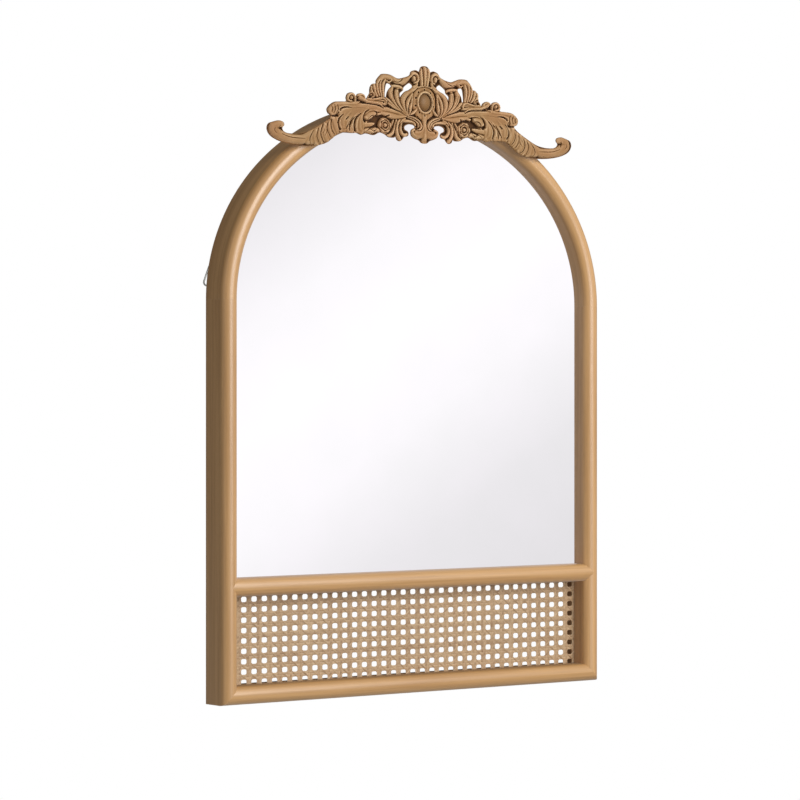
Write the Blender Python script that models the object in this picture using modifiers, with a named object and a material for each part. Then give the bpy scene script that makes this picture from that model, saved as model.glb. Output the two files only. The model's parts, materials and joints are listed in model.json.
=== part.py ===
"""Arched wall mirror: a half-round wooden frame with a carved crest over a mirror and a woven cane panel.

Heights are measured from the frame's bottom edge and depths from the front of its moulding. The object
hangs from an empty that brings the origin to the wall hooks, on the plane of the frame's back.
X is to the right, Y is away from the viewer and Z is up. Everything is in metres.
"""

import math

import bmesh
import bpy
from mathutils import Matrix

# General
FIT = 0.0003
OVERRUN = 0.010

# Frame moulding
FRAME_WIDTH = 0.660
MOULDING_WIDTH = 0.025
FRAME_DEPTH = 0.0465
REBATE_WIDTH = 0.008
REBATE_FRONT = 0.030
SPRING_HEIGHT = 0.546
ARCH_RISE = 0.281
MID_RAIL_TOP = 0.1705
NOSE_STEPS = 8
ARCH_STEPS = 30

# Dowels in the frame's joints
DOWEL_RADIUS = 0.004
DOWEL_LENGTH = 0.030
MITRE_DOWEL_LENGTH = 0.022
DOWEL_SIDES = 12

# Mirror and its backing board
MIRROR_LAP = 0.006
GLASS_THICKNESS = 0.003
BOARD_THICKNESS = 0.004

# Offset clips that hold the board, and their screws
CLIP_WIDTH = 0.012
CLIP_METAL = 0.001
CLIP_LAND = 0.011
CLIP_FOOT = 0.009
CLIP_LEG_GAP = 0.001
CLIP_SIDE_HEIGHT = 0.360
CLIP_RAIL_REACH = 0.150
CLIP_ARCH_ANGLE = math.radians(52.0)
CLIP_SCREW_LENGTH = 0.016
CLIP_SCREW_INSET = 0.006
SCREW_SHANK = 0.0015
SCREW_HEAD = 0.0030
SCREW_HEAD_HEIGHT = 0.0018
SCREW_TIP = 0.004
SCREW_SIDES = 8

# Cane panel
CANE_THICKNESS = 0.002
CANE_LAP = 0.006
CANE_PITCH_X = 0.0169
CANE_PITCH_Z = 0.01405
CANE_HOLE_WIDTH = 0.0102
CANE_HOLE_HEIGHT = 0.0085
CANE_FIRST_ROW_DROP = 0.0055
CANE_HOLE_SIDES = 6

# Battens behind the cane, and the pins through them
BATTEN_PROUD = 0.0033
BATTEN_BACK_INSET = 0.0005
BATTEN_SIDE_GAP = 0.0004
PIN_RADIUS = 0.0008
PIN_LENGTH = 0.016
PIN_SIDES = 6
PIN_REACH = 0.180

# Carved crest
CREST_HALF_WIDTH = 0.268
CREST_HEIGHT = 0.1085
CREST_DROP = 0.059
CREST_BACK = 0.006
CREST_BOARD = 0.010
CREST_SPLIT_SHARE = 0.10448
CREST_RELIEF = 0.007
SWELLING_SINK = 0.001
CABOCHON_WIDTH = 0.020
CABOCHON_HEIGHT = 0.026
CABOCHON_RISE = 0.005
CABOCHON_SEAT = 0.003
CABOCHON_RIM = 0.0022
CABOCHON_SIDES = 16
CREST_SCREW_BITE = 0.0045
CREST_SCREW_SHANK = 0.002
CREST_SCREW_HEAD = 0.004
CREST_SCREW_HEAD_HEIGHT = 0.0025
CREST_SCREW_GAP = 0.0015
CREST_SCREW_REACH = 0.125

# Hangers
HANG_RISE = 0.046
HANGER_INSET = 0.014
STRAP_WIDTH = 0.008
STRAP_LENGTH = 0.036
STRAP_METAL = 0.0012
STRAP_SIDES = 12
STRAP_CURL = math.radians(270.0)
STRAP_SCREW_SHARES = (0.36, 0.75)
STRAP_SCREW_LENGTH = 0.014
RING_WIRE = 0.0012
RING_SHOULDER_GAP = 0.0022
RING_FOOT_HALF = 0.0172
RING_LENGTH = 0.027
RING_TOP_CORNER = 0.0014
RING_FOOT_CORNER = 0.0045
RING_CORNER_STEPS = 4

# Wall pads
PAD_RADIUS = 0.006
PAD_THICKNESS = 0.003
PAD_HEIGHT = 0.018
PAD_SIDES = 16

NOSE = MOULDING_WIDTH / 2
HALF_WIDTH = FRAME_WIDTH / 2
AXIS_REACH = HALF_WIDTH - NOSE
AXIS_RISE = ARCH_RISE - NOSE
OPENING_HALF = HALF_WIDTH - MOULDING_WIDTH
MID_RAIL_AXIS = MID_RAIL_TOP - NOSE
DOWEL_DEPTH = (NOSE + REBATE_FRONT) / 2
GLASS_FRONT = REBATE_FRONT + FIT
BOARD_FRONT = GLASS_FRONT + GLASS_THICKNESS + FIT
BOARD_BACK = BOARD_FRONT + BOARD_THICKNESS
CANE_BACK = REBATE_FRONT + FIT + CANE_THICKNESS
CANE_TOP_ROW = MID_RAIL_TOP - MOULDING_WIDTH - CANE_FIRST_ROW_DROP
CANE_COLUMNS = int((2 * OPENING_HALF - CANE_HOLE_WIDTH) / CANE_PITCH_X) + 1
CANE_ROWS = int((CANE_TOP_ROW - MOULDING_WIDTH - CANE_HOLE_HEIGHT / 2) / CANE_PITCH_Z) + 1
CREST_FOOT = SPRING_HEIGHT + ARCH_RISE - CREST_DROP
CREST_SPLIT = CREST_SPLIT_SHARE * CREST_HALF_WIDTH
CREST_FACE = CREST_BACK - CREST_BOARD
CREST_SCREW_PLACES = {
    "inner": DOWEL_LENGTH / 2 + CREST_SCREW_SHANK + CREST_SCREW_GAP,
    "outer": CREST_SCREW_REACH,
}
HANG_HEIGHT = SPRING_HEIGHT + HANG_RISE
HANGER_REACH = HALF_WIDTH - HANGER_INSET
RING_TOP_HALF = STRAP_WIDTH / 2 + RING_SHOULDER_GAP
STRAP_FACE = FRAME_DEPTH + FIT + STRAP_METAL
BARREL_RADIUS = RING_WIRE + FIT + STRAP_METAL
BARREL_DEPTH = FRAME_DEPTH + FIT + BARREL_RADIUS

# The crest's outline from the top centre round to the foot, as shares of its half width and height
CREST_OUTLINE_SHARES = (
    (0.000, 1.000), (0.022, 0.985), (0.036, 0.930), (0.060, 0.940), (0.088, 0.915),
    (0.096, 0.868), (0.137, 0.829), (0.174, 0.811), (0.207, 0.841), (0.245, 0.865),
    (0.280, 0.858), (0.300, 0.810), (0.316, 0.748), (0.343, 0.712), (0.359, 0.650),
    (0.370, 0.550), (0.384, 0.522), (0.394, 0.576), (0.418, 0.588), (0.435, 0.555),
    (0.443, 0.526), (0.449, 0.572), (0.473, 0.596), (0.500, 0.572), (0.505, 0.474),
    (0.570, 0.470), (0.610, 0.438), (0.627, 0.374), (0.620, 0.312), (0.601, 0.284),
    (0.631, 0.218), (0.688, 0.148), (0.751, 0.072), (0.807, 0.042), (0.860, 0.037),
    (0.892, 0.055), (0.904, 0.100), (0.890, 0.132), (0.896, 0.174), (0.926, 0.190),
    (0.961, 0.174), (0.990, 0.146), (0.998, 0.076), (0.979, 0.012), (0.940, -0.040),
    (0.893, -0.082), (0.831, -0.108), (0.760, -0.113), (0.692, -0.095), (0.648, -0.072),
    (0.616, -0.034), (0.574, 0.036), (0.542, 0.080), (0.468, 0.083), (0.420, 0.078),
    (0.364, 0.086), (0.318, 0.084), (0.293, 0.114), (0.262, 0.098), (0.233, 0.074),
    (0.200, 0.060), (0.168, 0.018), (0.144, 0.042), (0.138, 0.078), (0.110, 0.098),
    (0.112, 0.142), (0.129, 0.178), (0.124, 0.218), (0.101, 0.244), (0.071, 0.232),
    (0.067, 0.194), (0.087, 0.156), (0.081, 0.100), (0.054, 0.072), (0.026, 0.034),
    (0.000, 0.000),
)
# Windows: centre, half length and half height as shares of half width and height, then the tilt
CREST_WINDOW_SHARES = (
    (0.228, 0.665, 0.016, 0.088, math.radians(-8.0)),
    (0.127, 0.712, 0.046, 0.034, math.radians(-30.0)),
)
CREST_WINDOW_SIDES = 10
# Swellings of a wing: centre, half sizes across and up as shares, the tilt, and the share of the relief
WING_SWELLING_SHARES = {
    "acanthus": (0.470, 0.300, 0.150, 0.150, math.radians(-12.0), 0.90),
    "shoulder": (0.583, 0.372, 0.038, 0.090, 0.0, 1.00),
    "outer_curl": (0.473, 0.535, 0.020, 0.050, 0.0, 0.80),
    "inner_curl": (0.414, 0.530, 0.018, 0.048, 0.0, 0.75),
    "root_leaf": (0.235, 0.390, 0.110, 0.095, math.radians(-14.0), 0.80),
    "foot_leaf": (0.178, 0.140, 0.028, 0.115, math.radians(18.0), 0.85),
    "rosette": (0.257, 0.218, 0.036, 0.088, 0.0, 1.00),
    "upright_leaf": (0.185, 0.560, 0.026, 0.150, math.radians(-14.0), 0.80),
    "top_leaf": (0.318, 0.640, 0.028, 0.150, math.radians(24.0), 0.85),
}
# Rods along a wing: centre line and radius, as shares of half width, height and relief
WING_ROD_SHARES = {
    "stem": (
        (0.925, 0.160, 0.62), (0.960, 0.110, 0.70), (0.950, 0.040, 0.78), (0.895, -0.015, 0.84),
        (0.810, -0.035, 0.92), (0.710, 0.015, 1.04), (0.630, 0.110, 1.12), (0.560, 0.210, 1.16),
    ),
    "bough": (
        (0.300, 0.740, 0.66), (0.272, 0.805, 0.72), (0.238, 0.822, 0.72), (0.205, 0.780, 0.66),
        (0.165, 0.765, 0.62), (0.115, 0.820, 0.60),
    ),
}
CENTRE_SWELLING_SHARES = {
    "body": (0.000, 0.520, 0.092, 0.240, 0.0, 0.80),
    "shell": (0.000, 0.880, 0.026, 0.120, 0.0, 0.90),
    "left_fan": (-0.040, 0.850, 0.022, 0.095, math.radians(-22.0), 0.80),
    "right_fan": (0.040, 0.850, 0.022, 0.095, math.radians(22.0), 0.80),
    "pendant": (0.000, 0.155, 0.036, 0.140, 0.0, 0.90),
    "left_hook": (-0.058, 0.125, 0.028, 0.058, 0.0, 0.80),
    "right_hook": (0.058, 0.125, 0.028, 0.058, 0.0, 0.80),
}
CABOCHON_CENTRE_SHARE = 0.530
SWELLING_SEGMENTS = 10
SWELLING_RINGS = 6


def clear_scene():
    for obj in list(bpy.data.objects):
        bpy.data.objects.remove(obj, do_unlink=True)


def make_material(name, colour, roughness, metallic=0.0):
    material = bpy.data.materials.new(name)
    material.use_nodes = True
    shader = material.node_tree.nodes["Principled BSDF"]
    shader.inputs["Base Color"].default_value = (*colour, 1.0)
    shader.inputs["Roughness"].default_value = roughness
    shader.inputs["Metallic"].default_value = metallic
    return material


def make_collection(name):
    collection = bpy.data.collections.new(name)
    bpy.context.scene.collection.children.link(collection)
    return collection


clear_scene()
PARTS = make_collection("arched_mirror")
CUTTERS = make_collection("cutters")
ORIGIN = bpy.data.objects.new("wall_hooks", None)
PARTS.objects.link(ORIGIN)
ORIGIN.location = (0.0, -FRAME_DEPTH, -HANG_HEIGHT)

FRAME_WOOD = make_material("frame_wood", (0.44, 0.26, 0.14), 0.42)
CREST_WOOD = make_material("crest_wood", (0.41, 0.21, 0.11), 0.60)
PLAIN_WOOD = make_material("plain_wood", (0.50, 0.33, 0.19), 0.70)
CANE = make_material("cane", (0.48, 0.31, 0.17), 0.55)
SILVER = make_material("silvered_glass", (0.92, 0.93, 0.94), 0.02, 1.0)
FIBREBOARD = make_material("fibreboard", (0.27, 0.17, 0.10), 0.85)
STEEL = make_material("zinc_steel", (0.60, 0.60, 0.58), 0.35, 1.0)
FELT = make_material("felt", (0.16, 0.13, 0.11), 0.95)


def keep(obj, material):
    """Makes an object one of the mirror's pieces."""
    PARTS.objects.link(obj)
    obj.parent = ORIGIN
    obj.data.materials.clear()
    obj.data.materials.append(material)
    return obj


def tool(obj):
    """Makes an object a helper that shapes the pieces and isn't one itself."""
    CUTTERS.objects.link(obj)
    obj.parent = ORIGIN
    obj.hide_render = True
    obj.display_type = "WIRE"
    return obj


def combine(obj, other, operation):
    """The carved pieces use the solver that copes with many shallow crossings."""
    modifier = obj.modifiers.new(operation.lower(), "BOOLEAN")
    modifier.solver = "MANIFOLD" if obj.name.startswith("crest") else "EXACT"
    modifier.operation = operation
    modifier.object = other
    return obj


def cut(obj, *others):
    for other in others:
        combine(obj, other, "DIFFERENCE")
    return obj


def mesh_of(name, shape):
    mesh = bpy.data.meshes.new(name)
    shape.to_mesh(mesh)
    shape.free()
    return bpy.data.objects.new(name, mesh)


def block(name, low, high):
    shape = bmesh.new()
    bmesh.ops.create_cube(shape, size=1.0)
    size = [b - a for a, b in zip(low, high)]
    middle = [(a + b) / 2 for a, b in zip(low, high)]
    bmesh.ops.scale(shape, vec=size, verts=shape.verts)
    bmesh.ops.translate(shape, vec=middle, verts=shape.verts)
    return mesh_of(name, shape)


def rod(name, centre, axis_turn, radius, length, sides):
    """A cylinder along Z, turned by the matrix axis_turn and moved to its centre."""
    shape = bmesh.new()
    bmesh.ops.create_cone(
        shape, cap_ends=True, segments=sides, radius1=radius, radius2=radius, depth=length
    )
    obj = mesh_of(name, shape)
    obj.matrix_basis = Matrix.Translation(centre) @ axis_turn
    smooth(obj)
    return obj


def ellipsoid(name, centre, half_sizes, tilt, segments=SWELLING_SEGMENTS, rings=SWELLING_RINGS):
    shape = bmesh.new()
    bmesh.ops.create_uvsphere(shape, u_segments=segments, v_segments=rings, radius=1.0)
    bmesh.ops.scale(shape, vec=half_sizes, verts=shape.verts)
    obj = mesh_of(name, shape)
    obj.location = centre
    obj.rotation_euler = (0.0, tilt, 0.0)
    smooth(obj)
    return obj


def smooth(obj, crease=math.radians(40.0)):
    obj.data.shade_smooth()
    obj.data.set_sharp_from_angle(angle=crease)


def half_space(name, point, turn):
    """A block on the far side of a plane through point, whose normal is X turned about Y."""
    reach = 2 * FRAME_WIDTH
    obj = block(name, (0.0, -reach, -reach), (reach, reach, reach))
    obj.location = point
    obj.rotation_euler = (0.0, turn, 0.0)
    return tool(obj)


def curve_mesh(name, curve):
    """The closed mesh of a curve object that stands at the origin."""
    source = bpy.data.objects.new(name + "_curve", curve)
    bpy.context.scene.collection.objects.link(source)
    bpy.context.view_layer.update()
    graph = bpy.context.evaluated_depsgraph_get()
    mesh = bpy.data.meshes.new_from_object(source.evaluated_get(graph))
    bpy.data.objects.remove(source, do_unlink=True)
    shape = bmesh.new()
    shape.from_mesh(mesh)
    bmesh.ops.remove_doubles(shape, verts=shape.verts, dist=FIT / 100)
    bmesh.ops.recalc_face_normals(shape, faces=shape.faces)
    shape.to_mesh(mesh)
    shape.free()
    mesh.name = name
    return bpy.data.objects.new(name, mesh)


def flat_curve(name, outlines):
    curve = bpy.data.curves.new(name, "CURVE")
    curve.dimensions = "2D"
    curve.fill_mode = "BOTH"
    for outline in outlines:
        spline = curve.splines.new("POLY")
        spline.points.add(len(outline) - 1)
        for point, (x, y) in zip(spline.points, outline):
            point.co = (x, y, 0.0, 1.0)
        spline.use_cyclic_u = True
    return curve


def extruded(name, outlines, thickness):
    """Flat outlines, the first one outside and the others holes, with the thickness along local Z."""
    curve = flat_curve(name, outlines)
    curve.extrude = thickness / 2
    return curve_mesh(name, curve)


def upright(name, outlines, front, back):
    """Outlines in X and Z, as a plate from the depth front to the depth back."""
    obj = extruded(name, outlines, back - front)
    obj.rotation_euler = (math.radians(90.0), 0.0, 0.0)
    obj.location = (0.0, (front + back) / 2, 0.0)
    return obj


def tube(name, points, radii, cyclic=False, resolution=2):
    """A round tube through points, with its own radius at each of them."""
    curve = bpy.data.curves.new(name, "CURVE")
    curve.dimensions = "3D"
    curve.bevel_depth = max(radii)
    curve.bevel_resolution = resolution
    curve.use_fill_caps = True
    spline = curve.splines.new("POLY")
    spline.points.add(len(points) - 1)
    for point, place, radius in zip(spline.points, points, radii):
        point.co = (*place, 1.0)
        point.radius = radius / max(radii)
    spline.use_cyclic_u = cyclic
    return curve_mesh(name, curve)


def moulding_profile(grow=0.0, inner_rebate=True, outer_rebate=False, back=FRAME_DEPTH):
    """The moulding's section: across it, with the outer side at +x, and depth from the front."""
    points = []
    for step in range(NOSE_STEPS + 1):
        turn = math.pi * step / NOSE_STEPS
        points.append((-(NOSE + grow) * math.cos(turn), NOSE - (NOSE + grow) * math.sin(turn)))
    shoulder = REBATE_FRONT + grow
    wall = NOSE + grow - REBATE_WIDTH
    if outer_rebate:
        points += [(NOSE + grow, shoulder), (wall, shoulder), (wall, back)]
    else:
        points += [(NOSE + grow, back)]
    if inner_rebate:
        points += [(-wall, back), (-wall, shoulder), (-NOSE - grow, shoulder)]
    else:
        points += [(-NOSE - grow, back)]
    return points


def stile_bar(name, side, low, high, grow=0.0, back=FRAME_DEPTH):
    outline = [(side * x, y) for x, y in moulding_profile(grow, back=back)]
    obj = extruded(name, [outline], high - low)
    obj.location = (side * AXIS_REACH, 0.0, (low + high) / 2)
    return obj


def rail_bar(name, height, reach, upper_rebate, lower_rebate):
    """A rail along X. Its section's outer side is its lower side."""
    outline = moulding_profile(inner_rebate=upper_rebate, outer_rebate=lower_rebate)
    obj = extruded(name, [outline], 2 * reach)
    obj.matrix_basis = Matrix(
        ((0, 0, 1, 0), (0, 1, 0, 0), (-1, 0, 0, height), (0, 0, 0, 1))
    )
    return obj


def arch_point(angle, outward=0.0):
    """A point of the arch and its outward direction, outward from the moulding's centre line."""
    across = math.cos(angle) / AXIS_REACH
    up = math.sin(angle) / AXIS_RISE
    length = math.hypot(across, up)
    normal = (across / length, up / length)
    x = AXIS_REACH * math.cos(angle) + normal[0] * outward
    z = SPRING_HEIGHT + AXIS_RISE * math.sin(angle) + normal[1] * outward
    return (x, z), normal


def arch_angles():
    return [math.pi * step / ARCH_STEPS for step in range(ARCH_STEPS + 1)]


def arch_bar(name, grow=0.0, back=FRAME_DEPTH):
    """The moulding swept round the arch, with a short straight end below each springing."""
    outline = [(x, -depth) for x, depth in moulding_profile(grow, back=back)]
    guide = flat_curve(name + "_section", [outline])
    section = tool(bpy.data.objects.new(name + "_section", guide))
    guide.fill_mode = "NONE"
    points = [(AXIS_REACH, SPRING_HEIGHT - OVERRUN)]
    points += [arch_point(angle)[0] for angle in arch_angles()]
    points += [(-AXIS_REACH, SPRING_HEIGHT - OVERRUN)]
    path = bpy.data.curves.new(name, "CURVE")
    path.dimensions = "2D"
    path.fill_mode = "NONE"
    path.bevel_mode = "OBJECT"
    path.bevel_object = section
    path.use_fill_caps = True
    spline = path.splines.new("POLY")
    spline.points.add(len(points) - 1)
    for point, (x, z) in zip(spline.points, points):
        point.co = (x, z, 0.0, 1.0)
    obj = curve_mesh(name, path)
    obj.rotation_euler = (math.radians(90.0), 0.0, 0.0)
    return obj


def opening_outline(grow):
    """The mirror's opening in X and Z, grown on every side."""
    reach = OPENING_HALF + grow
    outline = [(-reach, MID_RAIL_TOP - grow), (reach, MID_RAIL_TOP - grow)]
    outline += [arch_point(angle, grow - NOSE)[0] for angle in arch_angles()]
    return outline


def screw_shape(name, length, shank, head, head_height, grow=0.0, above=0.0, tip=SCREW_TIP):
    """A countersunk screw whose head's top is at its origin and whose point is down."""
    outline = [(0.0, above), (head + grow, above)]
    if above:
        outline.append((head + grow, 0.0))
    outline += [
        (shank + grow, -head_height - grow),
        (shank + grow, tip - length),
        (0.0, -length - grow),
    ]
    mesh = bpy.data.meshes.new(name)
    edges = [(i, i + 1) for i in range(len(outline) - 1)]
    mesh.from_pydata([(x, 0.0, z) for x, z in outline], edges, [])
    obj = bpy.data.objects.new(name, mesh)
    turn = obj.modifiers.new("turn", "SCREW")
    turn.steps = turn.render_steps = SCREW_SIDES
    turn.use_merge_vertices = True
    turn.merge_threshold = FIT / 10
    turn.use_smooth_shade = True
    return obj


def drive(name, place, kind, hosts):
    """Puts a screw into a back face at place, pointing forward, with a hole in each of its hosts."""
    point_forward = Matrix.Translation(place) @ Matrix.Rotation(math.radians(-90.0), 4, "X")
    hole = tool(screw_shape(name + "_hole", grow=FIT, above=OVERRUN, **kind))
    hole.matrix_basis = point_forward
    for host in hosts:
        cut(host, hole)
    obj = keep(screw_shape(name, **kind), STEEL)
    obj.matrix_basis = point_forward
    return obj


CLIP_SCREW = {
    "length": CLIP_SCREW_LENGTH,
    "shank": SCREW_SHANK,
    "head": SCREW_HEAD,
    "head_height": SCREW_HEAD_HEIGHT,
}
STRAP_SCREW = dict(CLIP_SCREW, length=STRAP_SCREW_LENGTH)
CREST_SCREW = {
    "length": FRAME_DEPTH + CREST_SCREW_BITE,
    "shank": CREST_SCREW_SHANK,
    "head": CREST_SCREW_HEAD,
    "head_height": CREST_SCREW_HEAD_HEIGHT,
}


def make_frame():
    """Two stiles, two halves of an arch and two rails, with gaps of FIT between them."""
    members = {}
    mitre = {side: math.radians(90.0 + side * 45.0) for side in (-1, 1)}
    for side, word in ((-1, "left"), (1, "right")):
        stile = stile_bar(f"{word}_stile", side, 0.0, SPRING_HEIGHT - FIT / 2)
        keep(stile, FRAME_WOOD)
        corner = (side * (HALF_WIDTH + FIT), 0.0, 0.0)
        cut(stile, half_space(f"{word}_stile_mitre", corner, mitre[side]))
        members[stile.name] = stile
    bottom = keep(rail_bar("bottom_rail", NOSE, HALF_WIDTH, True, False), FRAME_WOOD)
    for side, word in ((-1, "left"), (1, "right")):
        corner = (side * HALF_WIDTH, 0.0, 0.0)
        cut(bottom, half_space(f"{word}_rail_mitre", corner, mitre[side] - math.pi))
    members["bottom_rail"] = bottom
    middle = keep(rail_bar("mid_rail", MID_RAIL_AXIS, AXIS_REACH, True, True), FRAME_WOOD)
    for side, word in ((-1, "left"), (1, "right")):
        cope = stile_bar(f"{word}_cope", side, 0.0, SPRING_HEIGHT, FIT, FRAME_DEPTH + OVERRUN)
        cut(middle, tool(cope))
    members["mid_rail"] = middle
    springing = half_space("below_springing", (0.0, 0.0, SPRING_HEIGHT + FIT / 2), math.radians(90.0))
    for side, word in ((-1, "left"), (1, "right")):
        arch = keep(arch_bar(f"{word}_arch"), FRAME_WOOD)
        crown = (side * FIT / 2, 0.0, 0.0)
        away = 0.0 if side < 0 else math.pi
        cut(arch, springing, half_space(f"{word}_crown", crown, away))
        members[arch.name] = arch
    return members


def make_dowels(members):
    """One dowel across each joint of the frame, along the joint's normal."""
    along_x = Matrix.Rotation(math.radians(90.0), 4, "Y")
    joints = []
    for side, word in ((-1, "left"), (1, "right")):
        mitre_turn = Matrix.Rotation(-side * math.radians(45.0), 4, "Y")
        corner = (side * AXIS_REACH, DOWEL_DEPTH, NOSE)
        joints.append((f"{word}_foot_dowel", corner, mitre_turn, MITRE_DOWEL_LENGTH, ("stile", "bottom")))
        middle = (side * (AXIS_REACH - NOSE), DOWEL_DEPTH, MID_RAIL_AXIS)
        joints.append((f"{word}_mid_dowel", middle, along_x, MITRE_DOWEL_LENGTH, ("stile", "mid")))
        spring = (side * AXIS_REACH, DOWEL_DEPTH, SPRING_HEIGHT)
        joints.append((f"{word}_spring_dowel", spring, Matrix(), DOWEL_LENGTH, ("stile", "arch")))
    crown = (0.0, DOWEL_DEPTH, SPRING_HEIGHT + AXIS_RISE)
    joints.append(("crown_dowel", crown, along_x, DOWEL_LENGTH, ("left_arch", "right_arch")))
    for name, centre, turn, length, hosts in joints:
        keep(rod(name, centre, turn, DOWEL_RADIUS, length, DOWEL_SIDES), PLAIN_WOOD)
        bore = rod(name + "_bore", centre, turn, DOWEL_RADIUS + FIT, length + 2 * FIT, DOWEL_SIDES)
        tool(bore)
        word = name.split("_")[0]
        shared = {"bottom": "bottom_rail", "mid": "mid_rail"}
        for host in hosts:
            cut(members[shared.get(host, host if host in members else f"{word}_{host}")], bore)


def make_mirror():
    """The silvered glass against the rebate's shoulder, with its board behind it."""
    outline = opening_outline(MIRROR_LAP)
    glass = upright("mirror_glass", [outline], GLASS_FRONT, GLASS_FRONT + GLASS_THICKNESS)
    keep(glass, SILVER)
    board = upright("backing_board", [outline], BOARD_FRONT, BOARD_BACK)
    keep(board, FIBREBOARD)


def clip_section():
    """An offset clip: a land on the frame's back, a leg down the rebate and a foot on the board."""
    edge = REBATE_WIDTH - NOSE
    top = FRAME_DEPTH + FIT
    foot = BOARD_BACK + FIT
    leg = edge - CLIP_LEG_GAP
    return [
        (edge + CLIP_LAND, top), (edge + CLIP_LAND, top + CLIP_METAL),
        (leg - CLIP_METAL, top + CLIP_METAL), (leg - CLIP_METAL, foot + CLIP_METAL),
        (leg - CLIP_METAL - CLIP_FOOT, foot + CLIP_METAL), (leg - CLIP_METAL - CLIP_FOOT, foot),
        (leg, foot), (leg, top),
    ]


def make_clips(members):
    """Clips with one screw each: two on the stiles, two on the arch and two on the middle rail."""
    places = []
    for side, word in ((-1, "left"), (1, "right")):
        beside = (side * AXIS_REACH, CLIP_SIDE_HEIGHT)
        places.append((f"{word}_side_clip", beside, (side, 0.0), f"{word}_stile"))
        angle = CLIP_ARCH_ANGLE if side > 0 else math.pi - CLIP_ARCH_ANGLE
        point, normal = arch_point(angle)
        places.append((f"{word}_arch_clip", point, normal, f"{word}_arch"))
        below = (side * CLIP_RAIL_REACH, MID_RAIL_AXIS)
        places.append((f"{word}_rail_clip", below, (0.0, -1.0), "mid_rail"))
    for name, (x, z), (across, up), host in places:
        clip = keep(extruded(name, [clip_section()], CLIP_WIDTH), STEEL)
        clip.location = (x, 0.0, z)
        clip.rotation_euler = (0.0, math.atan2(-up, across), 0.0)
        inset = REBATE_WIDTH - NOSE + CLIP_SCREW_INSET
        place = (x + across * inset, FRAME_DEPTH + FIT + CLIP_METAL, z + up * inset)
        drive(name + "_screw", place, CLIP_SCREW, (clip, members[host]))


def cane_hole(x, z):
    points = []
    for step in range(CANE_HOLE_SIDES):
        turn = 2 * math.pi * step / CANE_HOLE_SIDES
        points.append(
            (x + CANE_HOLE_WIDTH / 2 * math.cos(turn), z + CANE_HOLE_HEIGHT / 2 * math.sin(turn))
        )
    return points


def make_cane():
    """A flat net of open cane work, a row and column of gaps at each pitch."""
    reach = OPENING_HALF + CANE_LAP
    low = MOULDING_WIDTH - CANE_LAP
    high = MID_RAIL_TOP - MOULDING_WIDTH + CANE_LAP
    outlines = [[(-reach, low), (reach, low), (reach, high), (-reach, high)]]
    for row in range(CANE_ROWS):
        for column in range(CANE_COLUMNS):
            x = (column - (CANE_COLUMNS - 1) / 2) * CANE_PITCH_X
            outlines.append(cane_hole(x, CANE_TOP_ROW - row * CANE_PITCH_Z))
    front = REBATE_FRONT + FIT
    keep(upright("cane_panel", outlines, front, CANE_BACK), CANE)


def make_battens(members):
    """Four battens behind the cane fill the rebates, and a pin through each goes into the frame."""
    wall = OPENING_HALF + REBATE_WIDTH - BATTEN_SIDE_GAP
    inner = OPENING_HALF - BATTEN_PROUD
    floor = MOULDING_WIDTH - REBATE_WIDTH + BATTEN_SIDE_GAP
    sill = MOULDING_WIDTH + BATTEN_PROUD
    head = MID_RAIL_TOP - MOULDING_WIDTH - BATTEN_PROUD
    ceiling = MID_RAIL_TOP - MOULDING_WIDTH + REBATE_WIDTH - BATTEN_SIDE_GAP
    front = CANE_BACK + FIT
    back = FRAME_DEPTH - BATTEN_BACK_INSET
    depth = (front + back) / 2
    bars = {
        "bottom_batten": ((-wall, front, floor), (wall, back, sill)),
        "top_batten": ((-wall, front, head), (wall, back, ceiling)),
        "left_batten": ((-wall, front, sill + FIT), (-inner, back, head - FIT)),
        "right_batten": ((inner, front, sill + FIT), (wall, back, head - FIT)),
    }
    battens = {name: keep(block(name, low, high), PLAIN_WOOD) for name, (low, high) in bars.items()}
    middle = (sill + head) / 2
    pins = []
    for side, word in ((-1, "left"), (1, "right")):
        away = side * math.radians(90.0)
        beside = (side * inner, depth, middle)
        below = (side * PIN_REACH, depth, sill)
        above = (side * PIN_REACH, depth, head)
        pins.append((f"{word}_batten_pin", beside, away, f"{word}_batten", f"{word}_stile"))
        pins.append((f"{word}_sill_pin", below, math.pi, "bottom_batten", "bottom_rail"))
        pins.append((f"{word}_head_pin", above, 0.0, "top_batten", "mid_rail"))
    for name, mouth, away, batten, host in pins:
        turn = Matrix.Rotation(away, 4, "Y")
        inward = turn @ Matrix.Translation((0.0, 0.0, PIN_LENGTH / 2))
        keep(rod(name, mouth, inward, PIN_RADIUS, PIN_LENGTH, PIN_SIDES), STEEL)
        length = PIN_LENGTH + 2 * FIT
        bore = tool(rod(name + "_bore", mouth, inward, PIN_RADIUS + FIT, length, PIN_SIDES))
        cut(battens[batten], bore)
        cut(members[host], bore)


def crest_place(across, up, depth=CREST_FACE):
    return (across * CREST_HALF_WIDTH, depth, CREST_FOOT + up * CREST_HEIGHT)


def crest_board(name):
    """The crest's whole outline as a board with its windows."""
    half = [crest_place(across, up) for across, up in CREST_OUTLINE_SHARES]
    outline = [(x, z) for x, _, z in half] + [(-x, z) for x, _, z in reversed(half[1:-1])]
    holes = []
    for side in (-1, 1):
        for across, up, wide, tall, tilt in CREST_WINDOW_SHARES:
            x, _, z = crest_place(side * across, up)
            hole = []
            for step in range(CREST_WINDOW_SIDES):
                turn = 2 * math.pi * step / CREST_WINDOW_SIDES
                dx = wide * CREST_HALF_WIDTH * math.cos(turn)
                dz = tall * CREST_HEIGHT * math.sin(turn)
                lean = side * tilt
                hole.append(
                    (x + dx * math.cos(lean) - dz * math.sin(lean),
                     z + dx * math.sin(lean) + dz * math.cos(lean))
                )
            holes.append(hole)
    return upright(name, [outline, *holes], CREST_FACE, CREST_BACK)


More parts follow.
